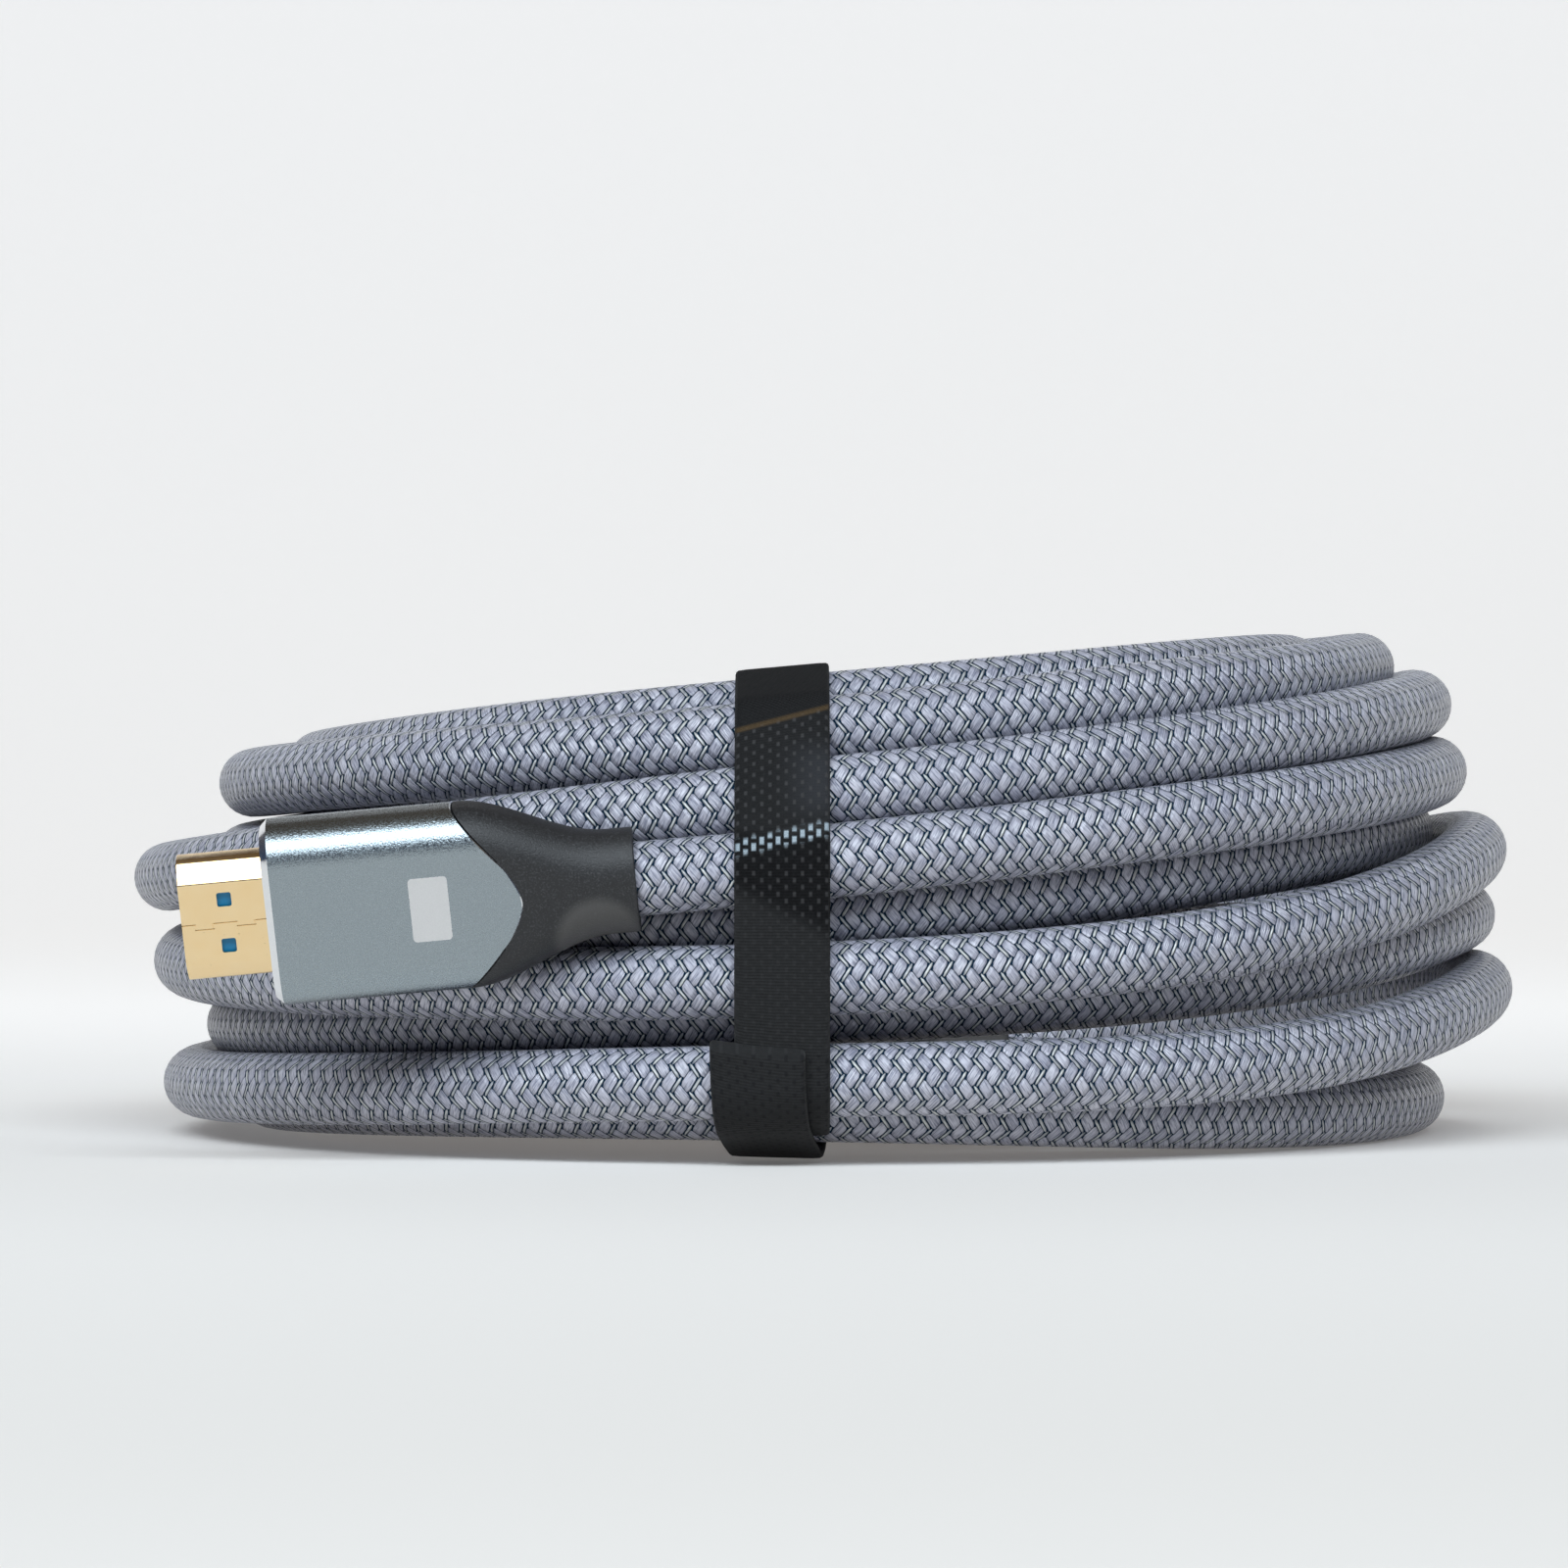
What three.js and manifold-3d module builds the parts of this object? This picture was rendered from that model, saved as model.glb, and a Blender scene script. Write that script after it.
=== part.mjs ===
// A braided video cable with a plug on each end, wound into a round coil and held by a woven strap.
// Millimetres, +Z up. The coil lies on the floor, the camera side is -Y, and plug A leaves the
// coil's front towards -X. The origin is the bottom middle of the whole object's box.
import * as THREE from "three";
import { mergeVertices } from "three/addons/utils/BufferGeometryUtils.js";
import Module from "manifold-3d";

const wasm = await Module();
wasm.setup();

// Cable and the coil it is wound into
const CABLE_DIAMETER = 8.2;
const SEAT_GAP = 0.3; // left between pieces that touch
const COIL_OUTER_RADIUS = 83.7;
const FLOOR_FLAT = 0.4; // a turn's underside is pressed flat over this height
const GROOVE_DEPTH = 2.6; // grooves between the turns are no deeper than this
const LEAD_A_INSET = 1; // the front lead's middle, from the outermost turn's
const LEAD_B_INSET = 8.7; // the same where the inner lead leaves the coil, at the right

// Woven strap round the coil's front
const STRAP_WIDTH = 10.5;
const STRAP_THICKNESS = 1.2;
const STRAP_MIDDLE = -5; // along X, from the coil's axis
const STRAP_START = 257; // degrees round the strap's loop, 180 is the front and 90 the top
const STRAP_TAIL_END = 231;
const STRAP_TAIL_SKEW = 2.7;
const STRAP_LAP_FROM = 290; // the tail climbs over the strap's start between these two
const STRAP_LAP_TO = 258;

// Plug body: an aluminium housing with a tongue, and the strain relief behind it
const BODY_LENGTH = 40.6;
const BODY_WIDTH = 20.8;
const BODY_THICKNESS = 10.5;
const BODY_CORNER = 4.6;
const HOUSING_SIDE_LENGTH = 21.1; // from the front rim to the relief, at the narrow sides
const HOUSING_TONGUE = 7; // how far the tongue reaches past that
// The tongue's edge between its root and its tip: share of its reach, share of the half width
const TONGUE_EDGE = [[0.29, 0.77], [0.59, 0.53], [0.82, 0.33]];
const HOUSING_CHAMFER = 0.8;
const RELIEF_END_WIDTH = 11.6;
const RELIEF_END_THICKNESS = 10;
const RELIEF_END_CORNER = 4.9;
const RELIEF_NECK = 3; // the relief flares between these two places, from where the cable enters
const RELIEF_SHOULDER = 19;

// Metal plug shell, one long side narrower than the other, and the insulator in it
const SHELL_WIDTH = 13.9;
const SHELL_THICKNESS = 4.45;
const SHELL_NARROW_WIDTH = 9.2;
const SHELL_BEVEL_DROP = 1.7;
const SHELL_WALL = 0.3;
const SHELL_REACH = 9.5; // how far it stands out of the housing
const SHELL_SEAT_DEPTH = 3;
const WINDOW_SIZE = 1.6;
const WINDOW_SPACING = 5.3;
const WINDOW_SETBACK = 4.95;
const INSERT_SETBACK = 0.5;
const SLOT_WIDTH = 10.8;
const SLOT_THICKNESS = 1.7;
const SLOT_DEPTH = 8;

// How plug A is held by the strap: its nose dips, and its wide face turns a little to the floor
const PLUG_A_DIP = 5.2;
const PLUG_A_ROLL = 17;

// Where each turn lies at five bearings round the coil: at the strap, front right, right, back
// and left. Each pair is the inset of its middle from the outermost turn's, and its height.
const BEARINGS_PAST_STRAP = [-45, 0, 90, 180];
const TURNS = [
  [[LEAD_A_INSET, 33.0], [1.5, 40.2], [7.5, 44.5], [2.1, 37.0], [0.0, 29.7]],
  [[4.6, 40.2], [4.8, 47.7], [9.6, 52.5], [8.6, 45.0], [10.8, 41.4]],
  [[9.0, 47.0], [11.0, 53.5], [15.1, 55.5], [15.1, 51.0], [19.2, 43.5]],
  [[16.0, 49.9], [19.5, 54.8], [23.0, 55.6], [17.6, 42.5], [9.6, 32.5]],
  [[12.0, 36.5], [13.0, 42.0], [16.6, 46.0], [18.6, 34.0], [19.1, 27.0]],
  [[15.0, 22.0], [15.5, 24.5], [9.6, 24.0], [12.1, 27.0], [11.1, 23.5]],
  [[7.0, 26.3], [7.5, 34.0], [10.6, 37.0], [3.6, 27.5], [2.9, 20.6]],
  [[1.0, 20.0], [1.0, 25.1], [1.2, 36.6], [8.1, 19.0], [9.1, 12.5]],
  [[8.6, 17.0], [8.0, 20.0], [1.6, 27.7], [1.6, 11.0], [4.2, 5.7]],
  [[1.0, 9.4], [1.5, 10.3], [0.0, 19.4], [8.6, 4.1], [13.1, 4.3]],
  [[8.0, 6.9], [8.5, 4.1], [LEAD_B_INSET, 4.1]],
];

// The front lead, as [along X, height], and the inner lead, as [bearing round the coil, inset from
// the outermost turn's middle, height]
const LEAD_A = [[-5, 33], [-10.2, 32.5], [-15.5, 32.05], [-20.7, 31.6]];
const LEAD_B = [
  [0, LEAD_B_INSET, 4.1], [5.69, 8.95, 4.1], [11.41, 9.82, 4.1], [17.08, 11.18, 4.1],
  [22.9, 13.05, 4.1], [28.8, 15.47, 4.1], [34.65, 18.21, 4.1], [40.54, 21.44, 4.2],
  [46.49, 25.13, 4.6], [52.58, 29.24, 5.1],
];
const LEAD_B_STRAIGHT = [6.6, 0.15]; // along X and up, from there to the plug

// Fineness of the meshes
const STATIONS = 54;
const SECTION_SIDES = 48;
const HULL_SIDES = 96;
const LEAD_SIDES = 12;
const STRAP_STEPS = 110;
const STRAP_NEAR_STATIONS = 3; // each side of the strap, where its width is looked for
const STRAP_SAMPLES = 12; // of the coil's surface between two stations
const BODY_SIDES = 32;
const BODY_RINGS = 14;
const BODY_CORNER_STEPS = 6;
const TONGUE_STEPS = 30;
const CUT_MARGIN = 3; // how far a cutting shape runs past what it cuts
const LEAST_LEAN = 0.05; // a hull's side that leans more from a ray than this is past it

// Easing the turns apart: rounds, and how far each round smooths a turn and draws it back
const SETTLE_ROUNDS = 60;
const SETTLE_SMOOTHING = 0.2;
const SETTLE_RETURN = 0.04;
const FULL_TURN = 360;

const CABLE_RADIUS = CABLE_DIAMETER / 2;
const TURN_RADIUS = COIL_OUTER_RADIUS - CABLE_RADIUS;
const STATION_STEP = FULL_TURN / STATIONS;
const STRAP_COLUMN_RADIUS = TURN_RADIUS - LEAD_A_INSET;
const STRAP_BEARING = -90 + THREE.MathUtils.radToDeg(Math.asin(STRAP_MIDDLE / STRAP_COLUMN_RADIUS));
const LEAD_A_POINTS = LEAD_A.map(([x, z]) => [x, -STRAP_COLUMN_RADIUS, z]);
const LEAD_B_POINTS = LEAD_B.map(([bearing, inset, z]) => {
  const angle = THREE.MathUtils.degToRad(bearing);
  return [(TURN_RADIUS - inset) * Math.cos(angle), (TURN_RADIUS - inset) * Math.sin(angle), z];
});
const [BEND_X, BEND_Y, BEND_Z] = LEAD_B_POINTS[LEAD_B_POINTS.length - 1];
LEAD_B_POINTS.push([BEND_X - LEAD_B_STRAIGHT[0], BEND_Y, BEND_Z + LEAD_B_STRAIGHT[1]]);

const FINISHES = {
  braid: { color: 0x8d90a6, roughness: 0.8, metalness: 0 },
  strap: { color: 0x1c1c1d, roughness: 0.85, metalness: 0 },
  aluminium: { color: 0x7d8c96, roughness: 0.42, metalness: 0.85 },
  blackPlastic: { color: 0x222222, roughness: 0.6, metalness: 0 },
  gold: { color: 0xf0c987, roughness: 0.25, metalness: 1 },
  bluePlastic: { color: 0x0b6fa8, roughness: 0.5, metalness: 0 },
};

function named(name, geometry, finish) {
  const mesh = new THREE.Mesh(geometry, new THREE.MeshStandardMaterial(FINISHES[finish]));
  mesh.name = name;
  return mesh;
}

// Moves every vertex of a geometry to where the rule puts it
function mould(geometry, rule) {
  const position = geometry.attributes.position;
  for (let i = 0; i < position.count; i += 1) {
    const place = rule(position.getX(i), position.getY(i), position.getZ(i), i);
    position.setXYZ(i, place[0], place[1], place[2]);
  }
  return geometry;
}

function toSolid(geometry) {
  const bare = geometry.clone();
  bare.deleteAttribute("normal");
  bare.deleteAttribute("uv");
  const merged = mergeVertices(bare, 1e-4);
  return new wasm.Manifold(new wasm.Mesh({
    numProp: 3,
    vertProperties: Float32Array.from(merged.attributes.position.array),
    triVerts: Uint32Array.from(merged.index.array),
  }));
}

function toGeometry(solid) {
  const mesh = solid.getMesh();
  const geometry = new THREE.BufferGeometry();
  geometry.setAttribute("position", new THREE.BufferAttribute(mesh.vertProperties, 3));
  geometry.setIndex(new THREE.BufferAttribute(mesh.triVerts, 1));
  return geometry;
}

function cut(body, ...tools) {
  const solid = tools.reduce((rest, tool) => rest.subtract(toSolid(tool)), toSolid(body));
  return toGeometry(solid);
}

// Smooth value between knots [degrees, inset, height] at a number of degrees
function smoothBetween(knots, degrees, column) {
  let i = knots.findIndex((knot) => knot[0] > degrees) - 1;
  if (i < 0) {
    i = knots.length - 2;
  }
  const slope = (k) => {
    const before = knots[Math.max(k - 1, 0)];
    const after = knots[Math.min(k + 1, knots.length - 1)];
    return (after[column] - before[column]) / (after[0] - before[0]);
  };
  const span = knots[i + 1][0] - knots[i][0];
  const t = (degrees - knots[i][0]) / span;
  const fromFirst = (1 + 2 * t) * (1 - t) ** 2 * knots[i][column] + t * (1 - t) ** 2 * span * slope(i);
  const fromSecond = t * t * (3 - 2 * t) * knots[i + 1][column] + t * t * (t - 1) * span * slope(i + 1);
  return fromFirst + fromSecond;
}

// Middle of the cable at every station of every turn, as [distance from the axis, height]
function layTurns() {
  const bearings = [STRAP_BEARING, ...BEARINGS_PAST_STRAP];
  const knots = TURNS.flatMap((turn, k) => turn.map(([inset, height], n) => (
    [FULL_TURN * k + bearings[n] - STRAP_BEARING, TURN_RADIUS - inset, height]
  )));
  const count = Math.floor(knots[knots.length - 1][0] / STATION_STEP) + 1;
  const targets = Array.from({ length: count }, (_, i) => (
    [smoothBetween(knots, i * STATION_STEP, 1), smoothBetween(knots, i * STATION_STEP, 2)]
  ));
  return settle(targets);
}

// Turns that cross the same station are eased apart until they lie a diameter from each other
function settle(targets) {
  let path = targets;
  for (let round = 0; round < SETTLE_ROUNDS; round += 1) {
    const moved = path.map((point, i) => {
      const before = path[Math.max(i - 1, 0)];
      const after = path[Math.min(i + 1, path.length - 1)];
      return [0, 1].map((axis) => (
        point[axis] + SETTLE_SMOOTHING * (before[axis] + after[axis] - 2 * point[axis])
        + SETTLE_RETURN * (targets[i][axis] - point[axis])
      ));
    });
    for (let i = 0; i < path.length; i += 1) {
      for (let j = i + STATIONS; j < path.length; j += STATIONS) {
        const across = path[j][0] - path[i][0];
        const up = path[j][1] - path[i][1];
        const apart = Math.hypot(across, up);
        const push = Math.max(CABLE_DIAMETER - apart, 0) / (2 * apart);
        moved[i][0] -= across * push;
        moved[i][1] -= up * push;
        moved[j][0] += across * push;
        moved[j][1] += up * push;
      }
    }
    path = moved.map(([reach, height]) => (
      [Math.min(reach, TURN_RADIUS), Math.max(height, CABLE_RADIUS)]
    ));
    path[0] = targets[0];
  }
  return path;
}

const HULL_BEARINGS = Array.from({ length: HULL_SIDES }, (_, i) => (i * 2 * Math.PI) / HULL_SIDES);

// How far points reach from a centre in each direction, and where a ray then leaves their hull
function reachesOf(centre, points) {
  return HULL_BEARINGS.map((bearing) => Math.max(...points.map((point) => (
    (point[0] - centre[0]) * Math.cos(bearing) + (point[1] - centre[1]) * Math.sin(bearing)
  ))));
}

function rayToHull(reaches, ray) {
  return Math.min(...reaches.map((reach, i) => {
    const lean = Math.cos(ray - HULL_BEARINGS[i]);
    return lean > LEAST_LEAN ? reach / lean : Infinity;
  }));
}

function rayToCircle(centre, circle, radius, ray) {
  const across = circle[0] - centre[0];
  const up = circle[1] - centre[1];
  const along = across * Math.cos(ray) + up * Math.sin(ray);
  const off = across * Math.sin(ray) - up * Math.cos(ray);
  return Math.abs(off) < radius ? along + Math.sqrt(radius * radius - off * off) : 0;
}

function middleOf(points) {
  return [0, 1].map((axis) => points.reduce((sum, point) => sum + point[axis], 0) / points.length);
}

// Outline of the coil at one station: round over each turn, with grooves between them
function coilOutline(turns) {
  const centre = middleOf(turns);
  const reaches = reachesOf(centre, turns).map((reach) => reach + CABLE_RADIUS);
  return Array.from({ length: SECTION_SIDES }, (_, j) => {
    const ray = (j * 2 * Math.PI) / SECTION_SIDES;
    const groove = rayToHull(reaches, ray) - GROOVE_DEPTH;
    const reach = Math.max(groove, ...turns.map((turn) => rayToCircle(centre, turn, CABLE_RADIUS, ray)));
    const height = centre[1] + reach * Math.sin(ray);
    return [centre[0] + reach * Math.cos(ray), height < FLOOR_FLAT ? 0 : height];
  });
}

function coilRing(path) {
  const outlines = Array.from({ length: STATIONS }, (_, station) => (
    coilOutline(path.filter((_point, i) => i % STATIONS === station))
  ));
  const plain = Array.from({ length: SECTION_SIDES + 1 }, (_, j) => {
    const ray = (j * 2 * Math.PI) / SECTION_SIDES;
    return new THREE.Vector2(TURN_RADIUS + Math.cos(ray), Math.sin(ray));
  });
  const start = THREE.MathUtils.degToRad(STRAP_BEARING + 90);
  const ring = new THREE.LatheGeometry(plain, STATIONS, start).rotateX(Math.PI / 2);
  return mould(ring, (x, y, z, i) => {
    const station = Math.floor(i / plain.length) % STATIONS;
    const [reach, height] = outlines[station][i % plain.length % SECTION_SIDES];
    const bearing = THREE.MathUtils.degToRad(STRAP_BEARING + station * STATION_STEP);
    return [reach * Math.cos(bearing), reach * Math.sin(bearing), height];
  });
}

// A length of cable along a list of points; more radius and a longer start make its cutter
function leadTube(points, extraRadius = 0, extraStart = 0) {
  const route = points.map((point) => new THREE.Vector3(...point));
  const section = new THREE.Shape();
  section.absarc(0, 0, CABLE_RADIUS + extraRadius, 0, 2 * Math.PI);
  if (extraStart > 0) {
    const back = route[0].clone().sub(route[1]).setLength(extraStart);
    route.unshift(route[0].clone().add(back));
  }
  return new THREE.ExtrudeGeometry(section, {
    steps: route.length + 1,
    curveSegments: LEAD_SIDES,
    bevelEnabled: false,
    extrudePath: new THREE.CatmullRomCurve3(route),
  });
}

// What the strap holds, seen along X: the coil's surface and the lead, within the strap's width
function heldPoints(ring, lead) {
  const low = STRAP_MIDDLE - STRAP_WIDTH / 2 - STRAP_TAIL_SKEW;
  const high = STRAP_MIDDLE + STRAP_WIDTH / 2;
  const rows = SECTION_SIDES + 1;
  const at = (station, j) => new THREE.Vector3().fromBufferAttribute(
    ring.attributes.position,
    ((station + STATIONS) % STATIONS) * rows + j,
  );
  const held = [];
  for (let station = -STRAP_NEAR_STATIONS; station < STRAP_NEAR_STATIONS; station += 1) {
    for (let j = 0; j < rows; j += 1) {
      for (let sample = 0; sample < STRAP_SAMPLES; sample += 1) {
        const point = at(station, j).lerp(at(station + 1, j), sample / STRAP_SAMPLES);
        if (point.x > low && point.x < high) {
          held.push([point.y, point.z]);
        }
      }
    }
  }
  const leadPosition = lead.attributes.position;
  for (let i = 0; i < leadPosition.count; i += 1) {
    held.push([leadPosition.getY(i), leadPosition.getZ(i)]);
  }
  return held;
}

// One ribbon round the bundle, its tail lapping over its own start at the front's foot
function strapRibbon(held) {
  const centre = middleOf(held);
  const reaches = reachesOf(centre, held).map((reach) => reach + SEAT_GAP);
  const last = STRAP_TAIL_END - FULL_TURN;
  const lapStart = FULL_TURN - STRAP_LAP_FROM;
  const lapEnd = FULL_TURN - STRAP_LAP_TO;
  return mould(new THREE.BoxGeometry(1, 1, 1, STRAP_STEPS, 1, 1), (x, y, z) => {
    const degrees = THREE.MathUtils.lerp(last, STRAP_START, 0.5 - x);
    const climbed = THREE.MathUtils.smoothstep(-degrees, lapStart, lapEnd);
    const onTail = THREE.MathUtils.smoothstep(-degrees, lapStart, -last);
    const ray = THREE.MathUtils.degToRad(degrees);
    const lift = climbed * (STRAP_THICKNESS + SEAT_GAP) + (0.5 - z) * STRAP_THICKNESS;
    const lifted = reaches.map((reach) => reach + lift);
    const reach = rayToHull(lifted, ray);
    return [
      STRAP_MIDDLE + y * STRAP_WIDTH - onTail * STRAP_TAIL_SKEW,
      centre[0] + reach * Math.cos(ray),
      centre[1] + reach * Math.sin(ray),
    ];
  });
}

// Outline across the plug's metal shell, grown or shrunk all round; the narrow side is +Z
function shellOutline(grow) {
  const side = SHELL_WIDTH / 2 + grow;
  const half = SHELL_THICKNESS / 2 + grow;
  const slant = Math.atan2(SHELL_BEVEL_DROP, (SHELL_WIDTH - SHELL_NARROW_WIDTH) / 2);
  const narrow = SHELL_NARROW_WIDTH / 2 + grow * Math.tan(slant / 2);
  const knee = SHELL_THICKNESS / 2 - SHELL_BEVEL_DROP + grow * Math.tan(Math.PI / 4 - slant / 2);
  return [[side, -half], [side, knee], [narrow, half], [-narrow, half], [-side, knee], [-side, -half]]
    .map(([y, z]) => new THREE.Vector2(y, z));
}

// Stands an outline of Y and Z up along X, from one place to another
function prismAlongX(shape, from, to, bevel = {}) {
  const geometry = new THREE.ExtrudeGeometry(shape, { depth: to - from, bevelEnabled: false, ...bevel });
  return geometry.rotateX(Math.PI / 2).rotateZ(Math.PI / 2).translate(from, 0, 0);
}

function bodyOutline() {
  const across = BODY_WIDTH / 2 - BODY_CORNER;
  const up = BODY_THICKNESS / 2 - BODY_CORNER;
  const outline = new THREE.Shape();
  outline.absarc(across, up, BODY_CORNER, 0, Math.PI / 2);
  outline.absarc(-across, up, BODY_CORNER, Math.PI / 2, Math.PI);
  outline.absarc(-across, -up, BODY_CORNER, Math.PI, 1.5 * Math.PI);
  outline.absarc(across, -up, BODY_CORNER, 1.5 * Math.PI, 2 * Math.PI);
  return outline;
}

// Everything behind the housing's tongued rear edge, moved back by a gap for the relief's side
function behindTongue(gap) {
  const rim = BODY_LENGTH - HOUSING_SIDE_LENGTH - gap;
  const half = BODY_WIDTH / 2;
  const oneSide = [[0, 1], ...TONGUE_EDGE].map(([reach, across]) => (
    new THREE.Vector2(rim - reach * HOUSING_TONGUE, across * half)
  ));
  const otherSide = oneSide.map((point) => new THREE.Vector2(point.x, -point.y)).reverse();
  const tip = new THREE.Vector2(rim - HOUSING_TONGUE, 0);
  const edge = new THREE.SplineCurve([...oneSide, tip, ...otherSide]);
  const outline = new THREE.Shape();
  outline.moveTo(-BODY_LENGTH, half + CUT_MARGIN);
  outline.lineTo(rim, half + CUT_MARGIN);
  edge.getPoints(TONGUE_STEPS).forEach((point) => outline.lineTo(point.x, point.y));
  outline.lineTo(rim, -half - CUT_MARGIN);
  outline.lineTo(-BODY_LENGTH, -half - CUT_MARGIN);
  const depth = 2 * BODY_THICKNESS;
  return new THREE.ExtrudeGeometry(outline, { depth, bevelEnabled: false }).translate(0, 0, -depth / 2);
}

function housingGeometry() {
  const bevel = {
    bevelEnabled: true,
    bevelThickness: HOUSING_CHAMFER,
    bevelSize: HOUSING_CHAMFER,
    bevelOffset: -HOUSING_CHAMFER,
    bevelSegments: 1,
    curveSegments: BODY_CORNER_STEPS,
  };
  const rear = 2 * HOUSING_CHAMFER;
  const block = prismAlongX(bodyOutline(), rear, BODY_LENGTH - HOUSING_CHAMFER, bevel);
  const pocket = prismAlongX(
    new THREE.Shape(shellOutline(SEAT_GAP)),
    BODY_LENGTH - SHELL_SEAT_DEPTH - SEAT_GAP,
    BODY_LENGTH + HOUSING_CHAMFER,
  );
  return cut(block, behindTongue(0), pocket);
}

// Rounded oblong at one place along the relief, as its point in one direction
function oblongPoint(direction, halfWidth, halfThickness, corner) {
  return [
    Math.sign(Math.cos(direction)) * (halfWidth - corner) + corner * Math.cos(direction),
    Math.sign(Math.sin(direction)) * (halfThickness - corner) + corner * Math.sin(direction),
  ];
}

// The plug's body from the cable's end on, flaring from the relief's end to the housing's section
function bodyLoft(length, grow) {
  const halfTurn = Math.PI / BODY_SIDES;
  const blank = new THREE.CylinderGeometry(1, 1, 1, BODY_SIDES, BODY_RINGS).rotateY(halfTurn);
  return mould(blank, (x, y, z) => {
    const along = (y + 0.5) * length;
    const flare = THREE.MathUtils.smoothstep(along, RELIEF_NECK, RELIEF_SHOULDER);
    const width = THREE.MathUtils.lerp(RELIEF_END_WIDTH, BODY_WIDTH, flare) / 2 + grow;
    const thickness = THREE.MathUtils.lerp(RELIEF_END_THICKNESS, BODY_THICKNESS, flare) / 2 + grow;
    const corner = THREE.MathUtils.lerp(RELIEF_END_CORNER, BODY_CORNER, flare);
    const isMiddle = Math.hypot(x, z) === 0;
    const [across, up] = oblongPoint(Math.atan2(x, z), width, thickness, corner);
    return isMiddle ? [along, 0, 0] : [along, across, up];
  });
}

function reliefGeometry() {
  const length = BODY_LENGTH - HOUSING_SIDE_LENGTH + CUT_MARGIN;
  return toGeometry(toSolid(bodyLoft(length, 0)).intersect(toSolid(behindTongue(SEAT_GAP))));
}

function shellGeometry() {
  const tip = BODY_LENGTH + SHELL_REACH;
  const outline = new THREE.Shape(shellOutline(0));
  outline.holes.push(new THREE.Path(shellOutline(-SHELL_WALL)));
  const tube = prismAlongX(outline, BODY_LENGTH - SHELL_SEAT_DEPTH, tip);
  const windows = [-1, 1].map((side) => (
    new THREE.BoxGeometry(WINDOW_SIZE, WINDOW_SIZE, SHELL_THICKNESS / 2)
      .translate(tip - WINDOW_SETBACK, side * WINDOW_SPACING / 2, SHELL_THICKNESS / 2)
  ));
  return cut(tube, ...windows);
}

function insertGeometry() {
  const front = BODY_LENGTH + SHELL_REACH - INSERT_SETBACK;
  const outline = new THREE.Shape(shellOutline(-SHELL_WALL - SEAT_GAP));
  const block = prismAlongX(outline, BODY_LENGTH - SHELL_SEAT_DEPTH, front);
  const slot = new THREE.BoxGeometry(2 * SLOT_DEPTH, SLOT_WIDTH, SLOT_THICKNESS).translate(front, 0, 0);
  return cut(block, slot);
}

// A plug whose cable enters at the group's origin and whose nose points along the group's X
function plug(letter, place, nose, narrowSide) {
  const group = new THREE.Group();
  group.add(named(`plug_${letter}_housing`, housingGeometry(), "aluminium"));
  group.add(named(`plug_${letter}_strain_relief`, reliefGeometry(), "blackPlastic"));
  group.add(named(`plug_${letter}_shell`, shellGeometry(), "gold"));
  group.add(named(`plug_${letter}_insert`, insertGeometry(), "bluePlastic"));
  const across = new THREE.Vector3().crossVectors(narrowSide, nose).normalize();
  group.quaternion.setFromRotationMatrix(new THREE.Matrix4().makeBasis(nose, across, narrowSide));
  group.position.copy(place).addScaledVector(nose, SEAT_GAP);
  return group;
}

function plugA() {
  const dip = THREE.MathUtils.degToRad(PLUG_A_DIP);
  const roll = THREE.MathUtils.degToRad(PLUG_A_ROLL);
  const nose = new THREE.Vector3(-Math.cos(dip), 0, -Math.sin(dip));
  const level = new THREE.Vector3(0, -1, 0).applyAxisAngle(nose, -roll);
  return plug("a", new THREE.Vector3(...LEAD_A_POINTS[LEAD_A_POINTS.length - 1]), nose, level);
}

function plugB() {
  const [x, y] = LEAD_B_POINTS[LEAD_B_POINTS.length - 1];
  const place = new THREE.Vector3(x, y, BODY_THICKNESS / 2);
  return plug("b", place, new THREE.Vector3(-1, 0, 0), new THREE.Vector3(0, 0, 1));
}

const assembly = new THREE.Group();
const ring = coilRing(layTurns());
const frontPlug = plugA();
frontPlug.updateMatrix();
const leadA = leadTube(LEAD_A_POINTS);
const leadB = leadTube(LEAD_B_POINTS);
const clearA = leadTube(LEAD_A_POINTS, SEAT_GAP, SEAT_GAP);
const clearB = leadTube(LEAD_B_POINTS, SEAT_GAP, SEAT_GAP);
const clearPlug = bodyLoft(BODY_LENGTH, SEAT_GAP).translate(-SEAT_GAP, 0, 0).applyMatrix4(frontPlug.matrix);
assembly.add(named("cable_coil", cut(ring, clearA, clearB, clearPlug), "braid"));
assembly.add(named("cable_lead_a", leadA, "braid"));
assembly.add(named("cable_lead_b", leadB, "braid"));
assembly.add(named("strap", strapRibbon(heldPoints(ring, leadA)), "strap"));
assembly.add(frontPlug);
assembly.add(plugB());

const box = new THREE.Box3().setFromObject(assembly, true);
const middle = box.getCenter(new THREE.Vector3());
assembly.position.set(-middle.x, -middle.y, -box.min.z);

export default assembly;
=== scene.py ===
"""The coiled braided video cable with its strap and plugs: cable, strap, plugs, floor and light."""
import math

import bpy
import numpy as np
from mathutils import Matrix, Vector


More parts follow.
